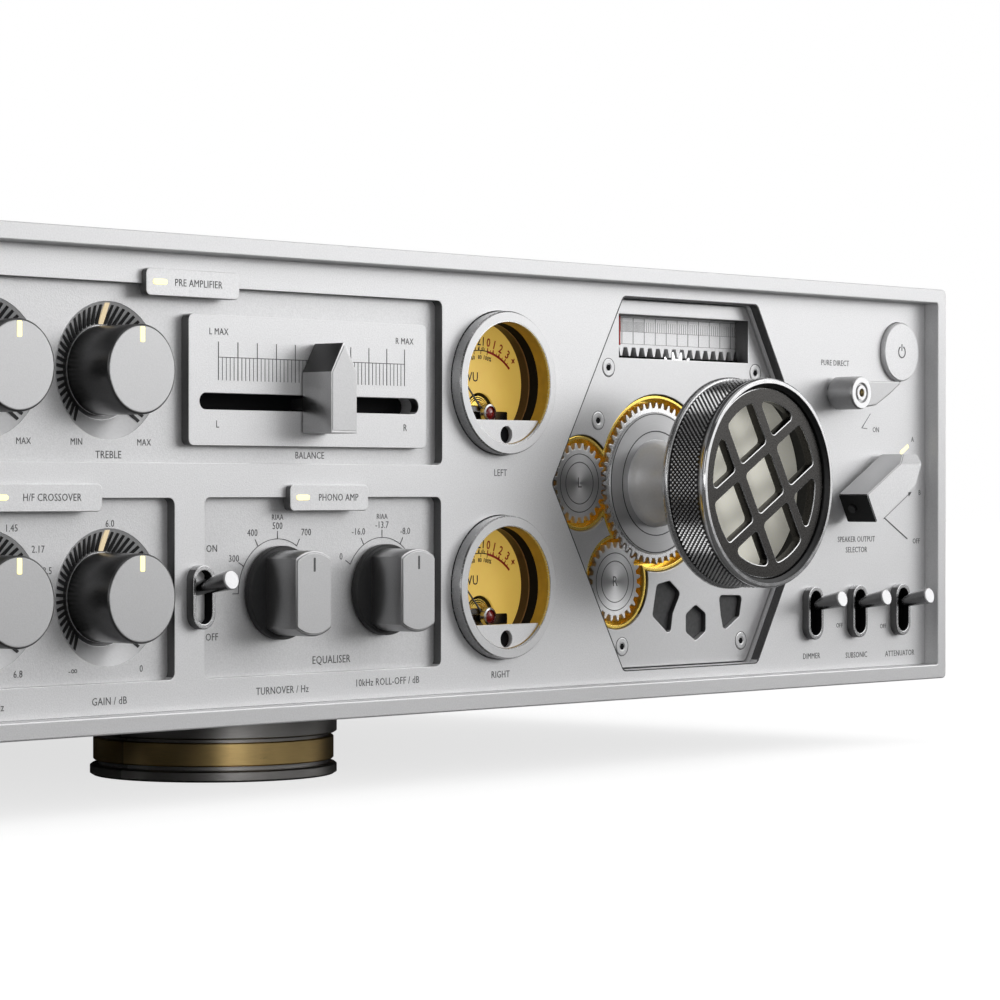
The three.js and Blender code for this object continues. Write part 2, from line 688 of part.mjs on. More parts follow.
function mainsInlet() {
  const { x, z, width, height, mouthWidth, mouthHeight, depth, wall } = inlet;
  const back = caseDepth + inletFlange;
  const flange = block(x - width / 2, x + width / 2, caseDepth + gap, back,
    z - height / 2, z + height / 2);
  const [shellW, shellH] = [mouthWidth / 2 + wall, mouthHeight / 2 + wall];
  const inside = caseDepth - depth;
  const shell = block(x - shellW, x + shellW, inside - wall, caseDepth + over,
    z - shellH, z + shellH);
  const mouth = block(x - mouthWidth / 2, x + mouthWidth / 2, inside, back + over,
    z - mouthHeight / 2, z + mouthHeight / 2);
  return flange.add(shell).subtract(mouth);
}

function terminalBlock() {
  const { x, z, width, height, pitchX, pitchZ, border } = terminals;
  const [w, h] = [width / 2, height / 2];
  let body = block(x - w, x + w, caseDepth + gap, caseDepth + terminalFlange, z - h, z + h);
  body = body.add(block(x - w + border, x + w - border, rearFront - terminalBody,
    caseDepth + over, z - h + border, z + h - border));
  for (let column = 0; column < 4; column += 1) {
    for (const row of [-0.5, 0.5]) {
      const postX = x + (column - 1.5) * pitchX;
      body = body.add(drum(post.radius, caseDepth + over, caseDepth + post.length,
        postX, z + row * pitchZ, 12));
    }
  }
  return body;
}

// ---- assembly ----
piece('front_frame', frontFrame(), silver);
piece('front_panel', frontPanel(), silver);
piece('hex_plate', hexPlate(), silver);
piece('gear_backplate', gearBackplate(), brass);
piece('balance_plate', balancePlate(), silver);
for (const [name, place] of Object.entries(tabs)) piece(name, tab(place), silver);
piece('chassis_base', chassisBase(), steel);
piece('top_cover', topCover(), silver);
piece('side_left', sidePanel(-1), silver);
piece('side_right', sidePanel(1), silver);
piece('rear_panel', rearPanel(), silver);

const feet = {
  front: [0, frontFootDepth],
  rear_left: [-rearFootX, rearFootDepth],
  rear_right: [rearFootX, rearFootDepth],
};
for (const [name, [x, y]] of Object.entries(feet)) {
  piece(`foot_${name}`, footCore(x, y), dark);
  piece(`foot_${name}_ring`, footRing(x, y), brass);
}

piece('volume_rim', volumeRim(), dark);
piece('volume_spider', volumeSpider(), dark);
piece('volume_shaft', volumeShaft(), bright);
piece('drive_gear', driveGear(), silver);
piece('gear_left', smallGear(smallGears[0]), silver);
piece('gear_right', smallGear(smallGears[1]), silver);
piece('rack_slide', rackSlide(), silver);
piece('rack_pinion', rackPinion(), silver);

for (const [name, [x, z]] of Object.entries(toneKnobs)) piece(name, toneKnob(x, z), dark);
for (const [name, [x, z]] of Object.entries(skirtKnobs)) piece(name, skirtKnob(x, z), dark);
piece('balance_slider', balanceSlider(), dark);
for (const [name, place] of Object.entries(toggles)) {
  piece(`${name}_lever`, toggleLever(place), bright);
  piece(`${name}_bezel`, toggleBezel(place), bright);
}
piece('power_button', powerButton(), silver);
piece('pure_direct_lever', pureDirectLever(), silver);
piece('speaker_selector', speakerSelector(), silver);

for (const [side, z] of [['left', upperRow], ['right', lowerRow - 0.2]]) {
  piece(`meter_${side}_bezel`, meterBezel(z), bright);
  piece(`meter_${side}_housing`, meterHousing(z), amber);
  piece(`meter_${side}_needle`, meterNeedle(z), black);
}

piece('transformer', transformer(), steel);
piece('amplifier_board', amplifierBoard(), board);
piece('mains_inlet', mainsInlet(), black);
piece('terminal_block', terminalBlock(), black);

export default amplifier;
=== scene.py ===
"""Looks for the stereo power amplifier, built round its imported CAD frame.

Most positions are in millimetres on the front: x to the right, depth back from the front rim
and height up from the case's bottom edge. spot() turns them into the frame's metres.
"""
import math

import bmesh
import bpy
from mathutils import Matrix, Vector


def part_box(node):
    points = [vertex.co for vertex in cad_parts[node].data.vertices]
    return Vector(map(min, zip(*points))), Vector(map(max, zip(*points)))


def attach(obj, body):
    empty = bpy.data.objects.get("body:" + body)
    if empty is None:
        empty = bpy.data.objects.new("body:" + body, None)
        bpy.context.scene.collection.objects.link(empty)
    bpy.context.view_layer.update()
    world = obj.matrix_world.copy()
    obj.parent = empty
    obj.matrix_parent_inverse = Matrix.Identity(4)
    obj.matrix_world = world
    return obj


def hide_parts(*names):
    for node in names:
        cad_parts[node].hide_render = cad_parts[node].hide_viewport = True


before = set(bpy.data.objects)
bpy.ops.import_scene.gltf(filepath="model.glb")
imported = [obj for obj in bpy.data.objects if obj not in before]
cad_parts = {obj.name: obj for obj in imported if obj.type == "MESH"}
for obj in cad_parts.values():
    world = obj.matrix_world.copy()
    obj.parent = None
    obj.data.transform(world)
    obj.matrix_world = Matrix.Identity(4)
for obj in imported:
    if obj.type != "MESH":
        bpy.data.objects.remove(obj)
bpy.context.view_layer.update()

CASE = "case"
MM = 0.001
RIM_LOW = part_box("front_frame")[0]
FRONT_Y = RIM_LOW.y
CASE_Z = RIM_LOW.z

# ---- the case, in millimetres ----
CASE_HALF, CASE_HEIGHT, CASE_DEPTH = 215, 110, 361.2
RIM = 4

# ---- depths behind the front rim, in millimetres ----
FACE = 4.5
FLOOR = 7.0
HEX_FACE = 8.3
PANEL_BACK = 12.5
BACKING = 18.2
DISH_DEPTH = 9.6
GEAR_FACE = 9.1
GEAR_BACK = 12.6

# ---- places on the front, in millimetres ----
UPPER, LOWER = 79.5, 29.6
TONE_KNOBS = {
    "bass_knob": (-127.5, UPPER),
    "treble_knob": (-93, UPPER),
    "frequency_knob": (-127.5, LOWER),
    "gain_knob": (-93, LOWER),
    "input_selector": (-183, UPPER),
}
SKIRT_KNOBS = {"turnover_knob": (-41.5, LOWER), "rolloff_knob": (-7, LOWER)}
TOGGLES = {
    "crossover": (-152.5, LOWER),
    "phono": (-68.7, 29.2),
    "cartridge": (-183, LOWER),
    "dimmer": (157.3, 19.8),
    "subsonic": (177.5, 19.8),
    "attenuator": (197.7, 19.8),
}
# These two sit on the edge of a recess. Only the floor plate is cut for them, not the face plate.
ON_RECESS_EDGE = ("phono", "crossover")
METERS = {"left": (32.1, UPPER), "right": (32.1, 29.4)}
METER_PIVOT = 7.7
DRIVE = (97, 55)
DIRECT = (168, 79.8)
SELECTOR = (179, 52.3)
POWER = (198, 92)
SLIDER_X = -32
HEX_CENTRE, HEX_REACH = (106.5, 54.9), 47.4
PINION = (111, 80.6)
BALANCE = (-32.6, 73.2)

# ---- openings in the front panel: radii, and a width and height, in millimetres ----
METER_HOLE = 17.75
DISH_HOLE = 15.1
TOGGLE_HOLE = (5.5, 12.5)
BUTTON_HOLE = 8.35


def spot(x, depth, z):
    return Vector((x * MM, FRONT_Y + depth * MM, CASE_Z + z * MM))


# ---- materials ----
def node(tree, kind, *values, operation=None, **sockets):
    """Adds a shader node. Each socket, by place or by name, takes a value or another node's output."""
    made = tree.nodes.new("ShaderNode" + kind)
    if operation:
        made.operation = operation
    pairs = list(zip(made.inputs, values))
    pairs += [(made.inputs[key.replace("_", " ")], value) for key, value in sockets.items()]
    for socket, value in pairs:
        if isinstance(value, bpy.types.NodeSocket):
            tree.links.new(value, socket)
        else:
            socket.default_value = value
    return made


def span(tree, value, low, high, start=0.0, end=1.0):
    """Runs from low to high while the value runs from start to end."""
    return node(tree, "MapRange", value, From_Min=start, From_Max=end, To_Min=low,
                To_Max=high).outputs["Result"]


def noise_along(tree, value, scale, detail):
    """Noise that changes along one value only."""
    made = node(tree, "TexNoise", Scale=scale, Detail=detail)
    made.noise_dimensions = "1D"
    tree.links.new(value, made.inputs["W"])
    return made.outputs[0]


def split_about(tree, centre):
    """The three coordinates on the object, counted from a centre."""
    place = node(tree, "TexCoord")
    shift = node(tree, "VectorMath", place.outputs["Object"], centre, operation="SUBTRACT")
    return node(tree, "SeparateXYZ", shift.outputs[0]).outputs


def distance_about(tree, split):
    """How far a point is from a front-to-back axis through the centre."""
    flat = node(tree, "CombineXYZ", split["X"], split["Z"])
    return node(tree, "VectorMath", flat.outputs[0], operation="LENGTH").outputs["Value"]


def tinted(tree, shader, color, amount):
    tint = node(tree, "VectorMath", color, operation="SCALE", Scale=amount)
    tree.links.new(tint.outputs[0], shader.inputs["Base Color"])


def raised(tree, shader, strength, height):
    bump = node(tree, "Bump", Strength=strength, Distance=0.0001, Height=height)
    tree.links.new(bump.outputs["Normal"], shader.inputs["Normal"])


def material(name, color, rough=0.4, metal=0.0, **sockets):
    made = bpy.data.materials.new(name)
    made.use_nodes = True
    shader = made.node_tree.nodes["Principled BSDF"]
    shader.inputs["Base Color"].default_value = (*color, 1)
    shader.inputs["Roughness"].default_value = rough
    shader.inputs["Metallic"].default_value = metal
    for key, value in sockets.items():
        shader.inputs[key.replace("_", " ")].default_value = value
    return made


def grain(made, scale, stretch=(1, 1, 1), rough=0.06, tone=0.06, bump=0.1):
    """Fine surface detail: a noise that varies the tone, the roughness and the height."""
    tree = made.node_tree
    shader = tree.nodes["Principled BSDF"]
    place = node(tree, "TexCoord")
    mapping = node(tree, "Mapping", Vector=place.outputs["Object"], Scale=stretch)
    value = node(tree, "TexNoise", Vector=mapping.outputs["Vector"], Scale=scale, Detail=6).outputs[0]
    middle = shader.inputs["Roughness"].default_value
    tree.links.new(span(tree, value, max(middle - rough, 0.02), middle + rough), shader.inputs["Roughness"])
    base = tuple(shader.inputs["Base Color"].default_value)[:3]
    ramp = node(tree, "ValToRGB", Fac=value)
    low, high = ramp.color_ramp.elements
    low.position, high.position = 0.3, 0.7
    low.color = (*[c * (1 - tone) for c in base], 1)
    high.color = (*[min(c * (1 + tone), 1) for c in base], 1)
    tree.links.new(ramp.outputs["Color"], shader.inputs["Base Color"])
    if bump:
        raised(tree, shader, bump, value)
    return made


def brushed_round(made, x, z, rings=5200, tone=0.1, painted_rays=0.3, phase=math.pi):
    """Turned metal: fine rings about a front-to-back axis at x, z, with the soft rays they throw as painted
    highlight.
    """
    tree = made.node_tree
    shader = tree.nodes["Principled BSDF"]
    split = split_about(tree, spot(x, 0, z))
    noise = noise_along(tree, distance_about(tree, split), rings, 3)
    angle = node(tree, "Math", split["Z"], split["X"], operation="ARCTAN2")
    wave = node(tree, "Math", angle.outputs[0], 2, phase, operation="MULTIPLY_ADD")
    ray = node(tree, "Math", wave.outputs[0], operation="COSINE")
    shade = span(tree, ray.outputs[0], 1 - painted_rays, 1, -1)
    product = node(tree, "Math", shade, span(tree, noise, 1 - tone, 1 + tone), operation="MULTIPLY")
    tinted(tree, shader, tuple(shader.inputs["Base Color"].default_value)[:3], product.outputs[0])
    raised(tree, shader, 0.12, noise)
    return made


def foot_look(name, color, rough, x, depth):
    """Turned metal of a foot, with painted highlight and shade: soft light and dark bands that run up its
    side.
    """
    made = grain(material(name, color, rough, 1.0), 300, (1, 1, 12), tone=0.05, bump=0.03)
    tree = made.node_tree
    shader = tree.nodes["Principled BSDF"]
    split = split_about(tree, spot(x, depth, 0))
    angle = node(tree, "Math", split["Y"], split["X"], operation="ARCTAN2")
    bands = noise_along(tree, angle.outputs[0], 1.7, 0)
    tinted(tree, shader, shader.inputs["Base Color"].links[0].from_socket,
           span(tree, bands, 0.4, 1.5, 0.3, 0.7))
    return made


def knurl_shade_look(name, x, z, low, high):
    """Knurled metal with painted shade: dark in its cuts and bright on its points, by distance from an axis
    at x, z.
    """
    made = grain(material(name, (0.95, 0.95, 0.96), 0.2, 1.0), 900, tone=0.05, bump=0.03)
    tree = made.node_tree
    shader = tree.nodes["Principled BSDF"]
    away = distance_about(tree, split_about(tree, spot(x, 0, z)))
    cut_shade = span(tree, away, 0.06, 1, low * MM, high * MM)
    tinted(tree, shader, shader.inputs["Base Color"].links[0].from_socket, cut_shade)
    return made


def metal(name, shade, rough, scale=2600, metallic=1.0, **options):
    color = shade if isinstance(shade, tuple) else (shade, shade, shade * 1.01)
    return grain(material(name, color, rough, metallic), scale, **options)


PANEL = metal("panel_aluminium", 0.76, 0.45, 3000, 0.5, tone=0.07, bump=0.35)
PANEL_LOW = metal("recess_aluminium", 0.7, 0.45, 3000, 0.5, tone=0.07, bump=0.35)
CASE_METAL = metal("case_aluminium", 0.7, 0.42, 2600, 0.45, tone=0.05, bump=0.25)
HEX_METAL = metal("plate_aluminium", 0.64, 0.4, 3200, 0.6, tone=0.05, bump=0.2)
EDGE = metal("bright_edge", 0.9, 0.18, 900, tone=0.03, bump=0.04)
SATIN = metal("satin_white", 0.9, 0.4, 1500, 0.5, tone=0.03, bump=0.05)
KNOB_SIDE = metal("knob_side", 0.13, 0.33, 2600, tone=0.06, bump=0.04)
KNOB_FACE = metal("knob_face", 0.53, 0.42, 3000, 0.7, tone=0.05, bump=0.2)
GRIP_SIDE = metal("grip_side", 0.42, 0.36, 2600, tone=0.06, bump=0.1)
# Painted shade: a dark metal for the side walls of recesses and plates, and for the ring round each dish
# floor.
SHADE_WALL = metal("painted_shade_wall", 0.15, 0.35, 2600, tone=0.08, bump=0.05)
GUNMETAL = metal("gunmetal", 0.34, 0.34, 2600, tone=0.08, bump=0.15)
SLIDER_SIDE = metal("slider_side", 0.5, 0.32, 2600, tone=0.06, bump=0.1)
SHADED_ROOF = metal("painted_shade_roof", 0.12, 0.35, 2600, tone=0.06, bump=0.1)
RING_METAL = metal("ring_metal", 0.52, 0.26, 1500, tone=0.05, bump=0.04)
BOSS_SIDE = metal("boss_side", 0.42, 0.32, 2600, tone=0.06, bump=0.1)
SHADED_END = metal("painted_shade_end", 0.035, 0.4, 2600, tone=0.06, bump=0.1)
ARM_METAL = metal("arm_metal", 0.55, 0.4, 2600, 0.6, tone=0.05, bump=0.15)
KNURL = knurl_shade_look("knurled_metal", *DRIVE, 26.08, 26.45)
POLISHED = metal("polished_metal", 0.72, 0.13, 500, tone=0.04, bump=0.02)
SMOKED = metal("smoked_metal", 0.2, 0.2, 500, tone=0.05, bump=0.02)
GEAR_METAL = metal("gear_metal", 0.74, 0.28, 1500, 0.9, tone=0.05, bump=0.06)
SPIDER = metal("spider_metal", (0.05, 0.048, 0.046), 0.28, 2600, tone=0.06, bump=0.15)
CUP = metal("cup_metal", 0.05, 0.4, 900, tone=0.1, bump=0.05)
BRASS = metal("brass", (0.95, 0.68, 0.16), 0.25, 1500, tone=0.08, bump=0.06)
STEEL = metal("chassis_steel", 0.2, 0.5, 1500, tone=0.1, bump=0.2)
BLACK = grain(material("black_plastic", (0.02, 0.02, 0.021), 0.5), 1800, tone=0.2, bump=0.2)
# Painted shade: near black with little shine, for the insides of openings and the sheets put behind them.
OPENING_SHADE = grain(material("painted_opening_shade", (0.008, 0.008, 0.009), 0.8, Specular_IOR_Level=0.1), 900, tone=0.2,
            bump=0)
GREY_PIT = grain(material("grey_opening", (0.07, 0.07, 0.072), 0.7), 900, tone=0.2, bump=0)
INK = grain(material("lettering", (0.1, 0.1, 0.105), 0.6), 2500, tone=0.12, bump=0)
GROOVE = grain(material("groove", (0.06, 0.06, 0.062), 0.5, 0.5), 1500, tone=0.1, bump=0)
BROWN = grain(material("brown_wall", (0.03, 0.006, 0.006), 0.4), 500, tone=0.2, bump=0)
# Painted highlight: a thin brown line on the meter's inner wall.
BROWN_HIGHLIGHT = grain(material("painted_brown_highlight", (0.2, 0.11, 0.07), 0.4), 500, tone=0.2, bump=0)
AMBER_WALL = grain(material("amber_wall", (0.5, 0.3, 0.03), 0.35), 300, tone=0.15, bump=0)
DIAL_INK = grain(material("dial_ink", (0.02, 0.015, 0.01), 0.6), 2500, tone=0.12, bump=0)
RED = grain(material("red_marking", (0.6, 0.03, 0.02), 0.5), 1500, tone=0.1, bump=0)
JEWEL = grain(material("red_jewel", (0.22, 0.006, 0.01), 0.15, Coat_Weight=0.5), 700, bump=0)
CREAM = grain(material("cream_floor", (0.9, 0.88, 0.78), 0.5, 0.2), 1800, tone=0.05, bump=0.1)
BOARD = grain(material("circuit_board", (0.03, 0.16, 0.09), 0.45), 400, tone=0.3, bump=0.1)
COPPER = grain(material("winding", (0.3, 0.09, 0.03), 0.35, 0.7), 900, (1, 1, 1), tone=0.3)
AMBER = grain(material("amber_dial", (0.74, 0.51, 0.11), 0.5), 160, tone=0.08, bump=0)
LAMP = grain(material("lamp", (1.0, 0.9, 0.4), 0.4), 900, tone=0.03, bump=0)
GLOW = grain(material("amber_glow", (0.9, 0.75, 0.5), 0.4), 900, tone=0.05, bump=0)


def emit(made, color, strength):
    shader = made.node_tree.nodes["Principled BSDF"]
    shader.inputs["Emission Color"].default_value = (*color, 1)
    shader.inputs["Emission Strength"].default_value = strength


emit(AMBER, (0.95, 0.62, 0.12), 0.36)
# Painted light: the cream floor inside the volume knob glows a little.
emit(CREAM, (1.0, 0.98, 0.86), 0.19)
# Painted light: the brass glows faintly.
emit(BRASS, (0.9, 0.55, 0.08), 0.03)
emit(LAMP, (1.0, 0.9, 0.45), 1.15)
# Painted light: the amber glow on each dish.
emit(GLOW, (1.0, 0.8, 0.5), 0.45)


# ---- mesh helpers ----
def place(obj, body, slot, replaces=()):
    bpy.context.scene.collection.objects.link(obj)
    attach(obj, body)
    if replaces:
        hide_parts(*replaces)
    return obj


def finish_mesh(name, mesh, materials, body, slot, replaces=(), sharp=32, closed=True):
    work = bmesh.new()
    work.from_mesh(mesh)
    bmesh.ops.remove_doubles(work, verts=work.verts, dist=1e-7)
    bmesh.ops.dissolve_degenerate(work, edges=work.edges, dist=1e-8)
    if closed:
        bmesh.ops.recalc_face_normals(work, faces=work.faces)
    work.to_mesh(mesh)
    work.free()
    mesh.shade_smooth()
    mesh.set_sharp_from_angle(angle=math.radians(sharp))
    for face in mesh.polygons:
        face.use_smooth = abs(face.normal.y) < 0.9995
    mesh.materials.clear()
    for made in materials if isinstance(materials, (list, tuple)) else [materials]:
        mesh.materials.append(made)
    return place(bpy.data.objects.new(name, mesh), body, slot, replaces)


def build(name, verts, faces, *finish, **more):
    mesh = bpy.data.meshes.new(name)
    mesh.from_pydata(verts, [], faces)
    return finish_mesh(name, mesh, *finish, **more)


def paint(obj, look, wanted):
    """Gives the faces whose normal and centre pass the test one more material."""
    obj.data.materials.append(look)
    for face in obj.data.polygons:
        if wanted(face.normal, face.center):
            face.material_index = len(obj.data.materials) - 1


def is_wall(normal, _centre):
    return abs(normal.y) < 0.5 and normal.z < 0.7


def lathe_data(profile, x, z, sides):
    """Points and faces of a profile of (radius, depth) turned about an axis at x, z."""
    verts, faces = [], []
    rows = []
    for radius, depth in profile:
        row = []
        count = 1 if radius < 1e-6 else sides
        for i in range(count):
            angle = 2 * math.pi * i / sides
            px, pz = radius * math.cos(angle), radius * math.sin(angle)
            row.append(len(verts))
            verts.append(spot(x + px, depth, z + pz))
        rows.append(row)
    for a, b in zip(rows, rows[1:]):
        for i in range(sides):
            j = (i + 1) % sides
            if len(a) == 1 and len(b) == 1:
                break
            if len(a) == 1:
                faces.append((a[0], b[j], b[i]))
            elif len(b) == 1:
                faces.append((a[i], a[j], b[0]))
            else:
                faces.append((a[i], a[j], b[j], b[i]))
    return verts, faces


def turned(name, profile, x, z, look, body=CASE, slot="panel_aluminium", replaces=(), sides=64, **more):
    """A turned piece. A profile that starts off the axis is a ring and closes on itself."""
    if profile[0][0] > 1e-6:
        profile = [*profile, profile[0]]
    verts, faces = lathe_data(profile, x, z, sides)
    return build(name, verts, faces, look, body, slot, replaces, **more)


def soft_corner(points, cut=0.35):
    """The same profile with each corner between two long edges rounded by a short chamfer."""
    made = [points[0]]
    for before, here, after in zip(points, points[1:], points[2:]):
        here_v = Vector(here)
        to_before, to_after = Vector(before) - here_v, Vector(after) - here_v
        size = min(cut, to_before.length * 0.4, to_after.length * 0.4)
        made.append(tuple(here_v + to_before.normalized() * size))
        made.append(tuple(here_v + to_after.normalized() * size))
    return [*made, points[-1]]


def mesh_of(curve):
    """The mesh a curve or a text makes. The curve itself is used up."""
    holder = bpy.data.objects.new("outline", curve)
    bpy.context.scene.collection.objects.link(holder)
    graph = bpy.context.evaluated_depsgraph_get()
    graph.update()
    mesh = bpy.data.meshes.new_from_object(holder.evaluated_get(graph))
    bpy.data.objects.remove(holder)
    bpy.data.curves.remove(curve)
    return mesh


def flat_mesh(outlines, front, back, bevel=0.2):
    """A plate with holes from (x, z) outlines, between two depths, with its edges broken."""
    half = (back - front) / 2
    bevel = min(bevel, half * 0.9)
    curve = bpy.data.curves.new("outline", "CURVE")
    curve.dimensions = "2D"
    curve.fill_mode = "BOTH"
    curve.extrude = half - bevel
    curve.bevel_depth = bevel
    curve.offset = -bevel
    curve.bevel_resolution = 1
    for points in outlines:
        spline = curve.splines.new("POLY")
        spline.points.add(len(points) - 1)
        for point, (x, z) in zip(spline.points, points):
            point.co = (x, z, 0, 1)
        spline.use_cyclic_u = True
    mesh = mesh_of(curve)
    middle = (front + back) / 2
    for vertex in mesh.vertices:
        x, z, depth = vertex.co
        vertex.co = spot(x, middle - depth, z)
    return mesh


def plate(name, outlines, front, back, look, body=CASE, slot="panel_aluminium", replaces=(), **more):
    mesh = flat_mesh(outlines, front, back, more.pop("bevel", 0.2))
    return finish_mesh(name, mesh, look, body, slot, replaces, **more)


def square(left, right, low, high):
    """Four corners: a plate's outline, or the profile of a plain ring from its inner to its outer radius."""
    return [(left, low), (right, low), (right, high), (left, high)]


def polar(radius, degrees, x=0.0, z=0.0):
    angle = math.radians(degrees)
    return (x + radius * math.cos(angle), z + radius * math.sin(angle))


def circle(radius, x, z, sides=64):
    return [polar(radius, 360 * i / sides, x, z) for i in range(sides)]


def rounded(x0, x1, z0, z1, radius, steps=6):
    points = []
    corners = [(x1 - radius, z0 + radius, -90), (x1 - radius, z1 - radius, 0),
               (x0 + radius, z1 - radius, 90), (x0 + radius, z0 + radius, 180)]
    for cx, cz, start in corners:
        points += [polar(radius, start + 90 * i / steps, cx, cz) for i in range(steps + 1)]
    return points


def stadium(x, z, width, height, steps=10):
    w, h = width / 2, height / 2
    return rounded(x - w, x + w, z - h, z + h, min(w, h) - 0.001, steps)


def line_shape(a, b, width):
    start, end = Vector(a), Vector(b)
    side = (end - start).normalized().orthogonal() * width / 2
    return [tuple(start + side), tuple(start - side), tuple(end - side), tuple(end + side)]


def join_flat(name, shapes, depth, look, body=CASE, slot="marking", thick=0.06):
    """Many small separate outlines as one thin piece standing on a surface at this depth."""
    verts, faces = [], []
    for points in shapes:
        count = len(points)
        first = len(verts)
        verts += [spot(x, depth - thick, z) for x, z in points]
        verts += [spot(x, depth + thick, z) for x, z in points]
        faces.append(tuple(range(first, first + count)))
        faces.append(tuple(range(first + 2 * count - 1, first + count - 1, -1)))
        for i in range(count):
            j = (i + 1) % count
            faces.append((first + i, first + count + i, first + count + j, first + j))
    return build(name, verts, faces, look, body, slot)


def lettering(name, words, depth, look=None, body=CASE, slot="marking", thick=0.04, bold=0):
    """Words given as (text, x, z, height[, turn in degrees]), joined into one thin piece."""
    together = bmesh.new()
    for text, x, z, height, *turn in words:
        curve = bpy.data.curves.new("text", "FONT")
        curve.body = text
        curve.size = height * 1.38
        curve.space_character = 1.06
        curve.align_x = curve.align_y = "CENTER"
        curve.resolution_u = 2
        curve.extrude = thick
        curve.offset = bold
        mesh = mesh_of(curve)
        spin = Matrix.Rotation(math.radians(turn[0] if turn else 0), 3, "Z")
        for vertex in mesh.vertices:
            px, pz, out = spin @ Vector((vertex.co.x * 0.92, vertex.co.y, vertex.co.z))
            vertex.co = spot(x + px, depth - out, z + pz)
        together.from_mesh(mesh)
        bpy.data.meshes.remove(mesh)
    result = bpy.data.meshes.new(name)
    together.to_mesh(result)
    together.free()
    return finish_mesh(name, result, look or INK, body, slot)


# ---- case ----
def case_shell():
    outer = rounded(-CASE_HALF, CASE_HALF, 0, CASE_HEIGHT, 1.4)
    inner = rounded(-CASE_HALF + RIM, CASE_HALF - RIM, RIM, CASE_HEIGHT - RIM, 0.6, 3)
    plate("frame_shell", [outer, inner[::-1]], 0, 14, CASE_METAL, slot="case_aluminium",
          replaces=["front_frame"], bevel=0.35)
    for name in ("top_cover", "side_left", "side_right", "rear_panel"):
        carry(name, CASE_METAL)
    carry("chassis_base", STEEL)
    carry("transformer", COPPER)
    carry("amplifier_board", BOARD)


def carry(name, look):
    """Gives a CAD piece whose shape is right its finish."""
    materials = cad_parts[name].data.materials
    materials.clear()
    materials.append(look)


HEX_POINTS = [polar(HEX_REACH / math.cos(math.pi / 6), a, *HEX_CENTRE) for a in range(0, 360, 60)]


def grow(points, amount):
    """A convex outline pushed outward from its middle by about this much."""
    cx = sum(p[0] for p in points) / len(points)
    cz = sum(p[1] for p in points) / len(points)
    made = []
    for x, z in points:
        away = Vector((x - cx, z - cz))
        away = away.normalized() * (away.length + amount)
        made.append((cx + away.x, cz + away.y))
    return made


def round_corners(points, radius, steps=5, straight=180):
    """Rounds each corner of an outline, but leaves the points of a sampled arc, which are nearly straight."""
    made = []
    count = len(points)
    for i, here in enumerate(points):
        corner = Vector(here)
        before = (Vector(points[i - 1]) - corner).normalized()
        after = (Vector(points[(i + 1) % count]) - corner).normalized()
        if before.angle(after) > math.radians(straight):
            made.append(here)
            continue
        half = before.angle(after) / 2
        reach = radius / math.tan(half)
        centre = corner + (before + after).normalized() * radius / math.sin(half)
        start, end = corner + before * reach - centre, corner + after * reach - centre
        made += [tuple(centre + start.lerp(end, step / steps).normalized() * radius)
                 for step in range(steps + 1)]
    return made


def front_panel():
    edge = CASE_HALF - RIM
    border = rounded(-edge, edge, RIM, CASE_HEIGHT - RIM, 0.5, 2)
    groups = [rounded(-152.5, 11.2, 59.3, 98.8, 1.6), rounded(-152.5, -75.7, 11, 51.4, 1.6),
              rounded(-66.6, 10.8, 10.8, 51.5, 1.6)]
    hexagon = round_corners(grow(HEX_POINTS, 0.35), 2)
    meters = [circle(METER_HOLE, x, z, 72) for x, z in METERS.values()]
    slots = [stadium(x, z, *TOGGLE_HOLE) for key, (x, z) in TOGGLES.items() if key not in ON_RECESS_EDGE]
    knobs = [circle(DISH_HOLE, *TONE_KNOBS["input_selector"], 64)]
    button = [circle(BUTTON_HOLE, *POWER, 48)]
    face = plate("panel_face", [border, *groups, hexagon, *meters, *slots, *knobs, *button], FACE, FLOOR,
                 PANEL, replaces=["front_panel"], bevel=0.15)
    # The face plate's side walls get painted shade.
    paint(face, SHADE_WALL, is_wall)
    dishes = [circle(DISH_HOLE, x, z, 64) for x, z in TONE_KNOBS.values()]
    bores = [circle(3.5, x, z, 24) for x, z in SKIRT_KNOBS.values()]
    holes = [stadium(x, z, *TOGGLE_HOLE) for x, z in TOGGLES.values()]
    slot = stadium(*BALANCE, 72, 4.6)
    plate("panel_floor", [border, hexagon, *meters, *dishes, *bores, *holes, slot, *button], FLOOR,
          PANEL_BACK, PANEL_LOW, bevel=0.15)
    # A sheet of painted shade behind the panel's openings.
    plate("panel_backing", [rounded(-206, 206, 12, 104, 1), grow(HEX_POINTS, 2)], BACKING, BACKING + 0.5, OPENING_SHADE,
          slot="black_plastic", bevel=0.05)
    outline = [grow(HEX_POINTS, 0.75), grow(HEX_POINTS, 0.4)]
    plate("hexagon_gap", [round_corners(points, 2) for points in outline], FACE - 0.03, FACE + 0.2, GROOVE,
          slot="plate_aluminium", bevel=0.01)


def tabs():
    for node, x0, x1, z0, word, middle in (("tab_pre_amplifier", -85.5, -57.2, 96.2, "PRE AMPLIFIER", -69.8),
                                           ("tab_crossover", -130.8, -98.2, 48.5, "H/F CROSSOVER", -112.4),
                                           ("tab_phono", -41.3, -15.6, 48.4, "PHONO AMP", -25.6)):
        made = plate(node + "_plate", [rounded(x0, x1, z0, z0 + 6.1, 1.3)], 3, 5.2, PANEL, replaces=[node],
                     bevel=0.2)
        # The tab's side walls get painted shade.
        paint(made, SHADE_WALL, is_wall)
        lettering(node + "_word", [(word, middle, z0 + 3.05, 1.68)], 3)
        plate(node + "_lamp", [rounded(x0 + 2, x0 + 6.2, z0 + 2.5, z0 + 3.7, 0.59)], 2.85, 3.2, LAMP,
              slot="lamp", bevel=0.08)


# ---- knobs ----
DISH_FLOOR, DISH_RIM = 10.9, 14.6


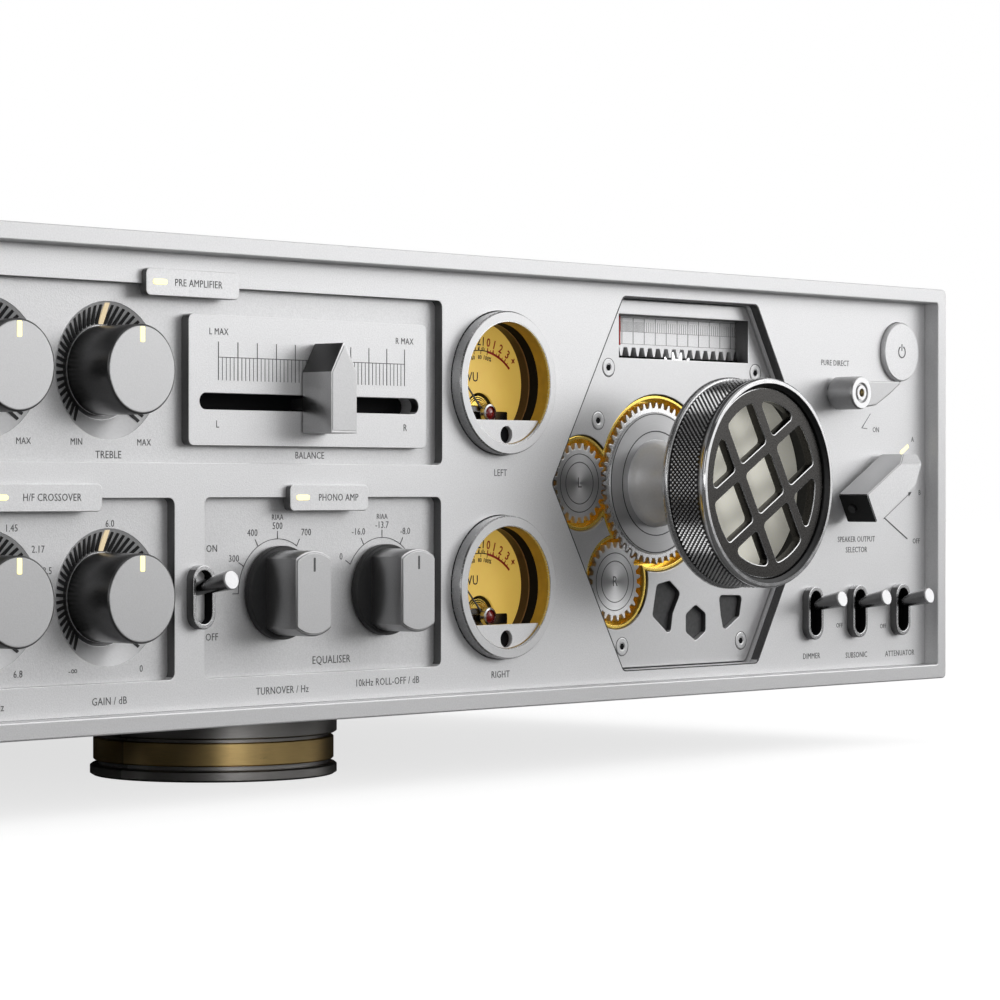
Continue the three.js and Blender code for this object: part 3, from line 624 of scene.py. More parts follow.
def knob_dish(name, x, z, top):
    """A tone knob's conical dish: dark slots round all but its lowest part and its top, which holds a painted
    glow.
    """
    profile = [(15.3, top), (15.05, top + 0.15), (DISH_RIM, top + 0.5), (DISH_FLOOR, DISH_DEPTH),
               (3.4, DISH_DEPTH), (3.4, DISH_DEPTH + 1), (15.3, DISH_DEPTH + 1)]
    turned(name + "_dish", profile, x, z, SATIN, slot="panel_aluminium", sides=96)
    count = 42
    # A ring of painted shade on the dish floor round the knob.
    turned(name + "_shade", square(9.95, 10.8, DISH_DEPTH - 0.04, DISH_DEPTH + 0.1),
           x, z, SHADE_WALL, slot="gunmetal", sides=96)
    angles = [-50 + 280 * i / count for i in range(count + 1)]
    wanted = [angle for angle in angles if abs(angle - 90) > 5]
    dish_bars(name + "_slots", x, z, top, [(angle, 10.2, 14.5, 0.72) for angle in wanted], BLACK, "gunmetal")
    # A painted glow: the amber light of the knob's mark, laid on the dish above it.
    dish_bars(name + "_glow", x, z, top, [(90, 10.2, 14.8, 1.3)], GLOW, "lamp")


def dish_bars(name, x, z, top, bars, look, slot):
    """Thin bars lying on the slope of a dish: (angle, inner radius, outer radius, width)."""
    verts, faces = [], []
    for angle, inner, outer, width in bars:
        points = line_shape(polar(inner, angle, x, z), polar(outer, angle, x, z), width)
        first = len(verts)
        for px, pz in points:
            slope = max((math.hypot(px - x, pz - z) - DISH_FLOOR) / (DISH_RIM - DISH_FLOOR), 0)
            depth = DISH_DEPTH + (top + 0.5 - DISH_DEPTH) * slope
            verts += [spot(px, depth - 0.1, pz), spot(px, depth + 0.3, pz)]
        t, b = [first + 2 * k for k in range(4)], [first + 2 * k + 1 for k in range(4)]
        faces += [tuple(t), tuple(reversed(b))]
        faces += [(t[k], b[k], b[(k + 1) % 4], t[(k + 1) % 4]) for k in range(4)]
    build(name, verts, faces, look, CASE, slot)


def tone_knob(name, x, z):
    front, radius = -4.2, 9.85
    knob_dish(name, x, z, FLOOR)
    profile = soft_corner([(0, front + 0.12), (radius - 0.45, front + 0.12), (radius - 0.4, front + 0.05),
                           (radius, front + 0.3), (radius, DISH_DEPTH - 0.3), (3, DISH_DEPTH - 0.3),
                           (3, PANEL_BACK + 3), (0, PANEL_BACK + 3)], 0.1)
    turned(name + "_body", profile, x, z, [KNOB_SIDE], name, "gunmetal", [name], 96)
    turned(name + "_face", [(0, front), (radius - 0.55, front), (radius - 0.35, front + 0.12),
                            (radius - 0.35, front + 0.35), (0, front + 0.35)], x, z, KNOB_FACE, name,
           "gunmetal", sides=96)
    mark = rounded(x - 0.65, x + 0.65, z + 5.9, z + 9.3, 0.25, 3)
    plate(name + "_mark", [mark], front - 0.1, front + 0.3, LAMP, name, "lamp", bevel=0.05)


def skirt_knob(name, x, z):
    front, flat = -5.2, 5.7
    turned(name + "_skirt", soft_corner([(0, 4.7), (10.8, 4.7), (10.8, 6.7), (3, 6.7), (3, PANEL_BACK + 3),
                                         (0, PANEL_BACK + 3)], 0.25), x, z, BLACK, name, "black_plastic",
           [name], 96)
    reach = math.degrees(math.acos(flat / 9.8))
    arc = [polar(9.8, reach + (180 - 2 * reach) * i / 16, x, z) for i in range(17)]
    outline = arc + [(2 * x - px, 2 * z - pz) for px, pz in arc]
    plate(name + "_grip", [outline], front + 0.3, 5, GRIP_SIDE, name, "gunmetal", bevel=0.35)
    plate(name + "_face", [grow(outline, -0.55)], front, front + 0.6, KNOB_FACE, name, "gunmetal", bevel=0.15)
    plate(name + "_mark", [rounded(x - 0.3, x + 0.3, z + 5, z + 8.2, 0.12, 2)], front - 0.05, front + 0.2,
          INK, name, "marking", bevel=0.03)


# ---- balance slider ----
def balance():
    x0, z0 = BALANCE
    outline = rounded(-71.5, 5.7, 63.2, 92.8, 1.5)
    slot = stadium(x0, z0, 71, 3.7, 14)
    made = plate("balance_face", [outline, slot], FACE, FLOOR - 0.1, PANEL, replaces=["balance_plate"],
                 bevel=0.15)
    # The plate's side walls get painted shade.
    paint(made, SHADE_WALL, is_wall)
    # A sheet of painted shadow behind the slot.
    plate("balance_shadow", [rounded(-70, 4.5, 70, 76.5, 1)], 10.6, 11.4, OPENING_SHADE, slot="black_plastic",
          bevel=0.05)
    lines = [line_shape((-62.4, 83.2), (-1.9, 83.2), 0.16)]
    steps = 50
    for i in range(steps + 1):
        x = -62.4 + 60.5 * i / steps
        top, width = (86.7, 0.2) if i % 5 == 0 else (83.2, 0.13)
        lines.append(line_shape((x, 78), (x, top), width))
    join_flat("balance_scale", lines, FACE, INK)
    lettering("balance_words",
              [("L MAX", -62.3, 88.9, 1.55), ("R MAX", -1.9, 88.6, 1.55), ("L", -62.7, 68, 1.7),
               ("R", -1.7, 68, 1.7)], FACE)
    x, half = SLIDER_X, 4.2
    cap = [(x - half, 66.3), (x + half, 66.3), (x + half, 80.4), (x + 0.3, 87.1), (x - 0.3, 87.1),
           (x - half, 80.4)]
    made = plate("slider_cap", [cap], -5.2, FACE - 0.3, SLIDER_SIDE, "balance_slider", "gunmetal",
                 ["balance_slider"], bevel=0.15)
    # The cap's upward faces get painted shade.
    paint(made, SHADED_ROOF, lambda normal, _: normal.z > 0.3 and abs(normal.y) < 0.5)
    half = 3.8
    lower = [(x - half, 66.9), (x + half, 66.9), (x + half, 80.3), (x, 86.5), (x - half, 80.3)]
    plate("slider_face", [lower], -5.32, -4.9, KNOB_FACE, "balance_slider", "gunmetal", bevel=0.1)
    plate("slider_stem", [square(x - 1.5, x + 1.5, 71.9, 74.5)],
          3, 15, STEEL, "balance_slider", "gunmetal", bevel=0.1)


# ---- toggle switches ----
def toggle(name, x, z):
    back = FLOOR if name in ON_RECESS_EDGE else FACE + 0.2
    ring = [stadium(x, z, 6.8, 14.4, 12), stadium(x, z, 4.8, 12, 12)]
    made = plate(name + "_ring", ring, 2.3, back, RING_METAL, slot="polished_metal",
                 replaces=[name + "_bezel"], bevel=0.2)
    # The ring's side walls get painted shade.
    paint(made, SHADE_WALL, is_wall)
    middle = spot(x, 0, z)
    # Painted shade: the ring's inner walls are near black.
    paint(made, OPENING_SHADE, lambda normal, centre: abs(normal.y) < 0.6 and normal.dot(centre - middle) < 0)
    shape = [stadium(x, z, 5.3, 12.4, 12), stadium(x, z, 4.9, 12, 12)]
    # A sleeve of painted shade inside the slot.
    plate(name + "_sleeve", shape, 5, BACKING - 0.4, OPENING_SHADE, slot="black_plastic", bevel=0.05)
    profile = [(0, -2.4), (1.3, -2.1), (1.9, -1.2), (2.2, 0), (1.8, 1.4), (1.55, 2.6), (1.5, 9), (1.75, 14),
               (2.15, 20.6), (2.2, 20.9)]
    tip = [(0, 20.8), (2.05, 20.8), (2.2, 20.95), (2.2, 21.25), (2, 21.4), (0, 21.4)]
    tilt = Matrix.Rotation(math.radians(-11), 3, "X")
    origin = spot(0, 0, 0)
    pivot = spot(x, 14.4, z)
    for part, shape, look in (("bat", [*profile, (0, 20.9)], SMOKED), ("tip", tip, KNOB_FACE)):
        verts, faces = lathe_data([(r, -reach) for r, reach in shape], 0, 0, 40)
        build(f"{name}_{part}", [pivot + tilt @ (v - origin) for v in verts], faces, look, name + "_lever",
              "polished_metal", [name + "_lever"])


# ---- right-hand controls ----
def power_button():
    x, z = POWER
    face = 3.1
    turned("power_cap", soft_corner(square(0, 8.2, face, PANEL_BACK), 0.35), x, z,
           PANEL, "power_button", "panel_aluminium", ["power_button"], 72)
    arc = [polar(1.75, 62 - 304 * i / 28, x, z) for i in range(29)]
    inner = [polar(1.4, 62 - 304 * i / 28, x, z) for i in range(28, -1, -1)]
    shapes = [[arc[i], arc[i + 1], inner[27 - i], inner[28 - i]] for i in range(28)]
    shapes.append(line_shape((x, z + 0.3), (x, z + 2.2), 0.32))
    join_flat("power_symbol", shapes, face, INK, "power_button")


def pure_direct():
    x, z = DIRECT
    front = -5.1
    body = "pure_direct_lever"
    rings = [(0, front + 1.6), (1.0, front + 1.6), (1.2, front + 0.2), (1.9, front + 0.2), (2.1, front + 0.5),
             (2.5, front + 0.5), (2.7, front + 0.1), (3.9, front + 0.1), (4.5, front + 0.6), (4.5, 2.9),
             (4.1, 3.4), (3.2, 3.6), (3.2, PANEL_BACK), (0, PANEL_BACK)]
    turned("direct_boss", rings, x, z, BOSS_SIDE, body, "gunmetal", [body], 64)
    for part, inner, outer in (("face", 2.85, 4.2), ("inner", 1.15, 2.0)):
        turned("direct_" + part, square(inner, outer, front - 0.02, front + 0.3), x, z, SATIN, body,
               "polished_metal")
    turned("direct_core", square(0, 0.8, front + 1.2, front + 1.7),
           x, z, BRASS, body, "brass", sides=24)
    arm = [(x + 1, z - 4.3), (x + 9, z - 3.2), (x + 15, z - 0.2), (x + 21.5, z + 3.6), (x + 13, z + 3.4),
           (x + 3, z + 3.2)]
    plate("direct_arm", [round_corners(arm, 0.5, 3)], front + 1.6, 2.7, ARM_METAL, body, "panel_aluminium",
          bevel=0.4)


def speaker_selector():
    """The stand-off bar lever: its outline, thickened, with a long chamfer along its top end."""
    outline = [(172.3, 44.4), (190.5, 54.5), (194.8, 63.2), (188, 63.2), (168, 52)]
    front, back, cut = -7, 3, 2.5
    top = 63.2
    work = bmesh.new()
    low = [work.verts.new(spot(x, front, z)) for x, z in outline]
    high = [work.verts.new(spot(x, back, z)) for x, z in outline]
    work.faces.new(low[::-1])
    work.faces.new(high)
    for i in range(5):
        j = (i + 1) % 5
        work.faces.new((low[i], low[j], high[j], high[i]))
    bmesh.ops.recalc_face_normals(work, faces=work.faces)
    cutter = Vector((0, -1, 1)).normalized()
    sliced = bmesh.ops.bisect_plane(work, geom=work.verts[:] + work.edges[:] + work.faces[:],
                                    plane_co=spot(0, front + cut, top), plane_no=cutter, clear_outer=True)
    edges = [item for item in sliced["geom_cut"] if isinstance(item, bmesh.types.BMEdge)]
    bmesh.ops.contextual_create(work, geom=edges)
    bmesh.ops.bevel(work, geom=work.edges[:], offset=0.25 * MM, segments=2, affect="EDGES",
                    clamp_overlap=True)
    mesh = bpy.data.meshes.new("selector_bar")
    work.to_mesh(mesh)
    work.free()
    made = finish_mesh("selector_bar", mesh, PANEL, "speaker_selector", "panel_aluminium",
                       ["speaker_selector"])
    # Painted shade: the bar's left end is near black and its upward faces take the darker boss metal.
    paint(made, SHADED_END, lambda normal, _: normal.x < -0.6 and normal.z < 0.2)
    paint(made, BOSS_SIDE, lambda normal, _: normal.x < 0.3 and normal.z > 0.55 and normal.y > -0.3)
    turned("selector_post", soft_corner(square(0, 3, 2.9, PANEL_BACK + 2), 0.2),
           *SELECTOR, BOSS_SIDE, "speaker_selector", "gunmetal", sides=40)
    end_a, end_b = Vector(outline[4]), Vector(outline[0])
    middle = end_a.lerp(end_b, 0.5)
    along = (end_b - end_a).normalized()
    turn = math.degrees(math.atan2(along.y, along.x)) - 90
    verts, faces = lathe_data([(0, 0.55), (0.7, 0.35), (0.95, 0.05), (1.15, -0.08), (1.15, 0.6), (0, 0.6)], 0,
                              0, 24)
    origin = spot(0, 0, 0)
    spin = Matrix.Rotation(math.radians(-turn), 3, "Y") @ Matrix.Rotation(math.radians(-90), 3, "Z")
    mesh = bpy.data.meshes.new("selector_dimple")
    mesh.from_pydata([spot(middle.x, -0.4, middle.y) + spin @ (v - origin) for v in verts], [], faces)
    finish_mesh("selector_dimple", mesh, BLACK, "speaker_selector", "gunmetal")


# ---- meters ----
def meter(side, x, z):
    turned(side + "_meter_ring", soft_corner([(15, 1.5), (17.6, 1.5), (17.6, 8), (15, 8), (15, 1.6)], 0.3), x,
           z, RING_METAL, slot="polished_metal", replaces=[f"meter_{side}_bezel"], sides=96)
    turned(side + "_meter_front", square(15.2, 17.25, 1.42, 1.9), x, z, HEX_METAL,
           slot="polished_metal", sides=96)
    low = [(px, pz) for px, pz in circle(14.95, x, z, 96) if pz < z - 8.4]
    low.sort()
    plate(side + "_meter_mask", [low, circle(2.1, x, z - 12.7, 32)], 2.5, 3.7, PANEL, slot="panel_aluminium",
          bevel=0.12)
    # Painted shade behind the mask's hole.
    plate(side + "_mask_hole", [circle(2.4, x, z - 12.7, 24)], 3.9, 4.3, OPENING_SHADE, slot="black_plastic",
          bevel=0.05)

    # Bands round the meter's inner wall: the black band is painted shade and the thin brown line is a painted
    # highlight.
    bands = (("amber", 14.95, 14.99, 2.2, 5.4, AMBER_WALL, "meter_dial"),
             ("black", 14.95, 14.99, 5.5, 8.2, OPENING_SHADE, "meter_black"),
             ("line", 14.9, 15.35, 8.25, 8.6, BROWN_HIGHLIGHT, "meter_black"),
             ("brown", 15.15, 15.35, 8.65, 11.3, BROWN, "meter_black"))
    for word, inner, outer, front, back, look, slot in bands:
        turned(f"{side}_wall_{word}", square(inner, outer, front, back), x, z, look, slot=slot, sides=96)

    pivot = z - METER_PIVOT
    arch = [polar(5.5, a, x, pivot) for a in range(0, 181, 9)]
    face = [circle(15.36, x, z, 96), [(x - 5.5, pivot - 1.5), (x + 5.5, pivot - 1.5), *arch]]
    plate(side + "_dial", face, 11.4, 12, AMBER, slot="meter_dial", replaces=[f"meter_{side}_housing"],
          bevel=0.05)
    turned(side + "_meter_can", soft_corner(square(0, 17.2, 16, 34)), x, z, BLACK,
           slot="black_plastic", sides=48)
    turned(side + "_meter_sleeve", square(15.5, 17.2, 8.4, 15.9), x, z, BLACK,
           slot="black_plastic", sides=48)
    meter_scale(side, x, pivot)
    movement(side, x, pivot)
    meter_needle(side, x, pivot)


VU_MARKS = ((-43, "20"), (-31, "10"), (-22, "7"), (-14, "5"), (-6, "3"), (-1, "2"), (4, "1"), (10, "0"),
            (17, "1"), (25, "2"), (34, "3"), (42, "+"))


def arc_band(radius, start, end, width, x, z, steps=24):
    """Short quads along an arc, angles in degrees to the right of upright."""
    shapes = []
    for i in range(steps):
        a, b = (90 - (start + (end - start) * k / steps) for k in (i, i + 1))
        shapes.append([polar(radius, a, x, z), polar(radius + width, a, x, z), polar(radius + width, b, x, z),
                       polar(radius, b, x, z)])
    return shapes


def meter_scale(side, x, z):
    dial = 11.4
    red_from = 10
    black = arc_band(15.8, -43, red_from, 0.24, x, z)
    red = arc_band(15.6, red_from, 43, 0.55, x, z)
    for angle, word in VU_MARKS:
        if word == "+":
            continue
        group = red if angle >= red_from else black
        group.append(line_shape(polar(16, 90 - angle, x, z), polar(16.9, 90 - angle, x, z), 0.28))
    for angle in range(-38, 42, 4):
        group = red if angle >= red_from else black
        group.append(line_shape(polar(16, 90 - angle, x, z), polar(16.6, 90 - angle, x, z), 0.14))
    for share in range(0, 101, 20):
        angle = -43 + (red_from + 43) * (share / 100) ** 0.8
        black.append(line_shape(polar(15.8, 90 - angle, x, z), polar(15, 90 - angle, x, z), 0.16))
    join_flat(side + "_scale", black, dial, DIAL_INK)
    join_flat(side + "_red_scale", red, dial, RED, slot="red_trim")
    words = [(word, *polar(18.1, 90 - angle, x, z), 2.2, -angle) for angle, word in VU_MARKS
             if angle < red_from]
    words += [("100%", *polar(14.2, 79, x, z), 1.05, -11), ("80", *polar(14.2, 90, x, z), 1.05, 0),
              ("60", *polar(14.2, 100, x, z), 1.05, 10), ("40", *polar(14.2, 111, x, z), 1.05, 21),
              ("VU", x - 2.6, z + 9.2, 2.4)]
    lettering(side + "_numbers", words, dial, DIAL_INK, bold=0.03)
    lettering(side + "_red_numbers",
              [(word, *polar(18.1, 90 - angle, x, z), 2.2, -angle) for angle, word in VU_MARKS
               if angle >= red_from], dial, RED, slot="red_trim", bold=0.05)


def movement(side, x, z):
    """What shows in the arch at the pivot: the coil frame, its springs and the jewel."""
    # A disc of painted shade behind the movement.
    plate(side + "_movement_back", [circle(6, x, z, 40)], 15, 15.4, OPENING_SHADE, slot="meter_black", bevel=0.05)
    frame_outline = [(x - 4.6, z - 1), (x + 4.6, z - 1), (x + 4.6, z + 1), (x + 3, z + 3.4), (x - 3, z + 3.4),
                     (x - 4.6, z + 1)]
    opening = [(x - 2.6, z - 0.4), (x + 2.6, z - 0.4), (x + 2.2, z + 2.2), (x - 2.2, z + 2.2)]
    plate(side + "_coil_frame", [frame_outline, opening], 12.6, 13.4, BRASS, slot="brass", bevel=0.15)
    turned(side + "_magnet", soft_corner(square(0, 2.3, 13.6, 14.9), 0.3), x, z + 1, SMOKED,
           slot="polished_metal", sides=32)
    for k, radius in enumerate((2.9, 3.4, 3.9)):
        turned(f"{side}_spring_{k}", square(radius, radius + 0.18, 12.1, 12.4),
               x, z + 0.6, BRASS, slot="brass", sides=40)
    plate(side + "_bridge", [rounded(x - 9.6, x + 9.6, z - 1.8, z + 0.9, 0.4)], 10.9, 11.35, SMOKED,
          slot="meter_black", bevel=0.12)
    turned(side + "_jewel_ring",
           soft_corner([(1.75, 7.7), (2.25, 7.9), (2.25, 9.3), (1.75, 9.3), (1.75, 7.8)], 0.1), x, z + 0.4,
           RING_METAL, slot="polished_metal", sides=40)
    turned(side + "_jewel", [(0, 7.5), (0.7, 7.58), (1.3, 7.85), (1.7, 8.3), (1.7, 9.2), (0, 9.2)], x,
           z + 0.4, JEWEL, slot="red_trim", sides=32)


def meter_needle(side, x, z):
    body = f"meter_{side}_needle"
    spin = Matrix.Rotation(math.radians(43), 2)
    points = [tuple(Vector((x, z)) + spin @ Vector(p)) for p in ((-0.25, -1.2), (0.25, -1.2), (0.07, 15.6),
                                                                 (-0.07, 15.6))]
    plate(side + "_needle", [points], 9.4, 9.8, INK, body, "meter_black", [body], bevel=0.05)
    turned(side + "_needle_hub", soft_corner(square(0, 1.2, 9.35, 10.5), 0.15), x, z, SMOKED,
           body, "meter_black", sides=28)


# ---- hexagon, gears and rack ----
GEAR_MODULE = 0.8
DRIVE_TEETH, SMALL_TEETH = 51, 24
CENTRES = GEAR_MODULE * (DRIVE_TEETH + SMALL_TEETH) / 2
DIRECTIONS = (180, 237.5)
DRIVE_POCKET = GEAR_MODULE * (DRIVE_TEETH / 2 + 0.75) + 1
SMALL_POCKET = GEAR_MODULE * (SMALL_TEETH / 2 + 0.75) + 1


def pocket_outline(growth):
    """The joined outline of the three round gear pockets."""
    big, small = DRIVE_POCKET + growth, SMALL_POCKET + growth
    alpha = math.degrees(math.acos((big ** 2 + CENTRES ** 2 - small ** 2) / (2 * big * CENTRES)))
    beta = math.degrees(math.acos((small ** 2 + CENTRES ** 2 - big ** 2) / (2 * small * CENTRES)))
    points = []
    for k, direction in enumerate(DIRECTIONS):
        sx, sz = polar(CENTRES, direction, *DRIVE)
        start, end = direction + 180 + beta, direction + 540 - beta
        points += [polar(small, start + (end - start) * i / 48, sx, sz) for i in range(49)]
        following = DIRECTIONS[1] if k == 0 else DIRECTIONS[0] + 360
        start, end = direction + alpha, following - alpha
        count = max(int((end - start) / 5), 2)
        points += [polar(big, start + (end - start) * i / count, *DRIVE) for i in range(1, count)]
    return points


def gear_outline(teeth, module, x, z, tooth_angle, thinning, tip=0.75, root=1.06):
    pitch_radius = module * teeth / 2
    step = 360 / teeth
    shape = ((pitch_radius - root * module, -0.31), (pitch_radius - 0.1, -0.22),
             (pitch_radius + tip * module, -0.1), (pitch_radius + tip * module, 0.1),
             (pitch_radius - 0.1, 0.22), (pitch_radius - root * module, 0.31))
    return [polar(radius, tooth_angle + (tooth + share * thinning) * step, x, z)
            for tooth in range(teeth) for radius, share in shape]


def small_gear_angle(direction):
    past = (direction - 180) / (360 / DRIVE_TEETH)
    share = past - math.floor(past)
    return direction + 180 - (0.5 - share) * (360 / SMALL_TEETH)


def ring_groove(name, radius, x, z, depth, body, width=0.28):
    turned(name, square(radius, radius + width, depth - 0.03, depth + 0.1), x, z, GROOVE, body, "gunmetal",
           sides=96)


def gears():
    x, z = DRIVE
    # The gear faces carry painted highlight rays.
    face = brushed_round(material("drive_gear_face", (0.74, 0.74, 0.75), 0.36, 0.8), x, z, painted_rays=0.45,
                         phase=0)
    bore = circle(5.6, x, z, 48)
    outline = gear_outline(DRIVE_TEETH, GEAR_MODULE, x, z, 180, 0.92)
    plate("drive_gear_front", [outline, bore], GEAR_FACE, 10.4, GEAR_METAL, "volume_knob", "gear_metal",
          ["drive_gear"], bevel=0.12)
    inner = gear_outline(DRIVE_TEETH, GEAR_MODULE, x, z, 180, 0.8, 0.68)
    plate("drive_gear_back", [inner, bore], 10.5, GEAR_BACK, BRASS, "volume_knob", "brass", bevel=0.1)
    turned("drive_gear_disc", soft_corner(square(5.8, 18.5, 8.75, 9.2), 0.15), x, z, face,
           "volume_knob", "gear_metal", sides=120)
    for k, radius in enumerate((13.4, 17.9)):
        ring_groove(f"drive_groove_{k}", radius, x, z, 8.75, "volume_knob")
    for name, word, direction in (("gear_left", "L", 180), ("gear_right", "R", 237.5)):
        gx, gz = polar(CENTRES, direction, x, z)
        angle = small_gear_angle(direction)
        # Painted highlight rays on the small gear's face.
        face = brushed_round(material(name + "_face", (0.95, 0.95, 0.96), 0.32, 0.8), gx, gz, painted_rays=0.7)
        outline = gear_outline(SMALL_TEETH, GEAR_MODULE, gx, gz, angle, 0.92)
        plate(name + "_front", [outline], GEAR_FACE, 10.6, face, name, "gear_metal", [name], bevel=0.12)
        inner = gear_outline(SMALL_TEETH, GEAR_MODULE, gx, gz, angle, 0.8, 0.68)
        plate(name + "_back", [inner], 10.7, GEAR_BACK, BRASS, name, "brass", bevel=0.1)
        turned(name + "_pin", square(0, 3, GEAR_BACK + 0.1, 20), gx, gz, BRASS, name,
               "brass", sides=32)
        for k, radius in enumerate((5.2, 7.3)):
            ring_groove(f"{name}_groove_{k}", radius, gx, gz, GEAR_FACE, name, 0.2)
        lettering(name + "_letter", [(word, gx, gz, 2.7)], GEAR_FACE, body=name)


RACK_WINDOW = (81.6, 135, 87.3, 98.5)
LOWER_WINDOWS = (
    ((96.8, 28.6), (102, 29.5), (106.4, 26.3), (103.2, 21), (102.2, 15.3), (95, 20.6)),
    ((122.6, 25.3), (132.4, 25), (131.2, 19.5), (124.6, 15.8), (123.4, 20)),
    tuple(polar(4.7, a, 112.8, 18.3) for a in range(30, 390, 60)),
)
HEX_SCREWS = ((77.4, 84.6), (73.3, 71), (138.1, 84.7), (82.7, 13), (131.8, 13))


def hex_plate():
    x0, x1, z0, z1 = RACK_WINDOW
    window = square(x0, x1, z0, z1)
    holes = [pocket_outline(1.1), window, *[round_corners(points, 1.1, 4) for points in LOWER_WINDOWS]]
    made = plate("hexagon_plate", [round_corners(HEX_POINTS, 2), *holes], HEX_FACE, GEAR_BACK, HEX_METAL,
                 slot="plate_aluminium", replaces=["hex_plate"], bevel=0.2)
    # The plate's side walls get painted shade.
    paint(made, SHADE_WALL, is_wall)
    plate("pocket_liner", [pocket_outline(0.85), pocket_outline(0)], 8.75, 12.9, BRASS, slot="brass",
          replaces=["gear_backplate"], bevel=0.15)
    plate("pocket_floor", [pocket_outline(0.8), circle(5.8, *DRIVE, 40)], 12.92, 13.12, BRASS, slot="brass",
          bevel=0.04)
    # A sheet of painted shade behind the hexagon.
    plate("hexagon_backing", [grow(HEX_POINTS, 1)], 16.3, 16.8, OPENING_SHADE, slot="black_plastic", bevel=0.05)
    plate("lower_backing", [round_corners(grow(points, -0.1), 1.1, 4) for points in LOWER_WINDOWS],
          HEX_FACE + 1.3, GEAR_BACK, GREY_PIT, slot="black_plastic", bevel=0.05)
    for k, (x, z) in enumerate(HEX_SCREWS):
        screw(f"hexagon_screw_{k}", x, z, HEX_FACE, 2.3)


def screw(name, x, z, depth, radius, body=CASE):
    hole = radius * 0.38
    profile = [(hole, depth - 0.02), (radius * 0.5, depth - 0.12), (radius * 0.88, depth - 0.12),
               (radius, depth - 0.02), (radius, depth + 0.2), (hole, depth + 0.2), (hole, depth)]
    turned(name, profile, x, z, HEX_METAL, body, "polished_metal", sides=40)
    turned(name + "_gap", square(radius, radius + 0.16, depth - 0.04, depth + 0.1),
           x, z, GROOVE, body, "black_plastic", sides=40)
    socket = [polar(hole, a, x, z) for a in range(0, 360, 60)]
    # Painted shade in the screw's socket.
    plate(name + "_socket", [socket], depth - 0.06, depth + 0.1, OPENING_SHADE, body, "black_plastic", bevel=0.03)


def rack_and_pinion():
    module = 1.05
    pitch = math.pi * module
    px, pz = PINION
    line = pz + module * 16 / 2
    tip, root = line - 0.9 * module, line + 1.2 * module
    left, right, top = 80.6, 166.6, 98.6
    first = math.ceil((left - px) / pitch)
    last = math.floor((right - px) / pitch) - 1
    outline = [(left, root)]
    for i in range(first + 1, last + 1):
        x = px + i * pitch
        outline += [(x - 0.3 * pitch, root), (x - 0.1 * pitch, tip), (x + 0.1 * pitch, tip),
                    (x + 0.3 * pitch, root)]
    outline += [(right, root), (right, top), (left, top)]
    plate("rack_bar", [outline], 12.9, 15.5, PANEL, "rack_slide", "panel_aluminium", ["rack_slide"],
          bevel=0.12)
    lines = [line_shape((left + 1, z), (right - 1, z), 0.08) for z in (91.2, 94.4, 98)]
    x, step = left + 3, 4.5
    while x < right - 2:
        lines.append(line_shape((x, 91.2), (x, 98), 0.12))
        parts = 10 if x < left + 16 else 5
        for k in range(1, parts):
            if x + step * k / parts < right - 1.5:
                lines.append(line_shape((x + step * k / parts, 94.4), (x + step * k / parts, 97), 0.04))
        x += step
    join_flat("rack_scale", lines, 12.9, INK, "rack_slide")
    plate("rack_pointer", [square(86.4, 86.9, 90.8, 98.4)], 12.3, 12.7, RED,
          slot="red_trim", bevel=0.05)
    outline = gear_outline(16, module, px, pz, 90 + 180 / 16, 0.85)
    plate("pinion_gear", [outline], 13.2, 15.5, EDGE, "rack_pinion", "gear_metal", ["rack_pinion"],
          bevel=0.12)
    turned("pinion_pin", square(0, 2.5, 15.6, 23), px, pz, STEEL, "rack_pinion", "gear_metal",
           sides=32)


# ---- volume knob ----
def knurl(name, radius, front, back, pitch, height, x, z, look, body):
    """A band of small pyramids set diamond-wise round a drum."""
    around = 2 * round(math.pi * radius * 2 / pitch)
    along = 2 * round((back - front) / pitch)
    verts, faces = [], []
    for j in range(along + 1):
        depth = front + (back - front) * j / along
        for i in range(around):
            edge = j in (0, along)
            lift = 0 if edge or (i + j) % 2 else height
            px, pz = polar(radius + lift, 360 * i / around, x, z)
            verts.append(spot(px, depth, pz))
    for j in range(along):
        for i in range(around):
            a, b = j * around + i, j * around + (i + 1) % around
            c, d = b + around, a + around
            faces += [(a, b, d), (b, c, d)] if (i + j) % 2 == 0 else [(a, b, c), (a, c, d)]
    rings = []
    for radius_in, depth in ((radius - 0.8, back), (radius - 0.8, front)):
        rings.append([len(verts) + i for i in range(around)])
        for i in range(around):
            px, pz = polar(radius_in, 360 * i / around, x, z)
            verts.append(spot(px, depth, pz))
    last = [along * around + i for i in range(around)]
    first = list(range(around))
    for a, b in ((last, rings[0]), (rings[0], rings[1]), (rings[1], first)):
        faces += [(a[i], a[(i + 1) % around], b[(i + 1) % around], b[i]) for i in range(around)]
    return build(name, verts, faces, look, body, "gunmetal", sharp=12)


def lattice_windows():
    """Nine windows between two crossed pairs of bars inside a ring, before they are turned."""
    inside, bar_in, bar_out = 20.8, 5.75, 8.75
    middle = square(-bar_in, bar_in, -bar_in, bar_in)
    reach = math.degrees(math.asin(bar_in / inside))
    side = [(-bar_in, bar_out), (bar_in, bar_out)]
    side += [polar(inside, 90 - reach + 2 * reach * i / 5) for i in range(6)]
    low = math.degrees(math.asin(bar_out / inside))
    corner = [(bar_out, bar_out)]
    corner += [polar(inside, low + (90 - 2 * low) * i / 6) for i in range(7)]
    windows = [middle]
    for quarter in range(4):
        spin = Matrix.Rotation(math.radians(90 * quarter), 2)
        windows += [[tuple(spin @ Vector(p)) for p in shape] for shape in (side, corner)]
    return windows


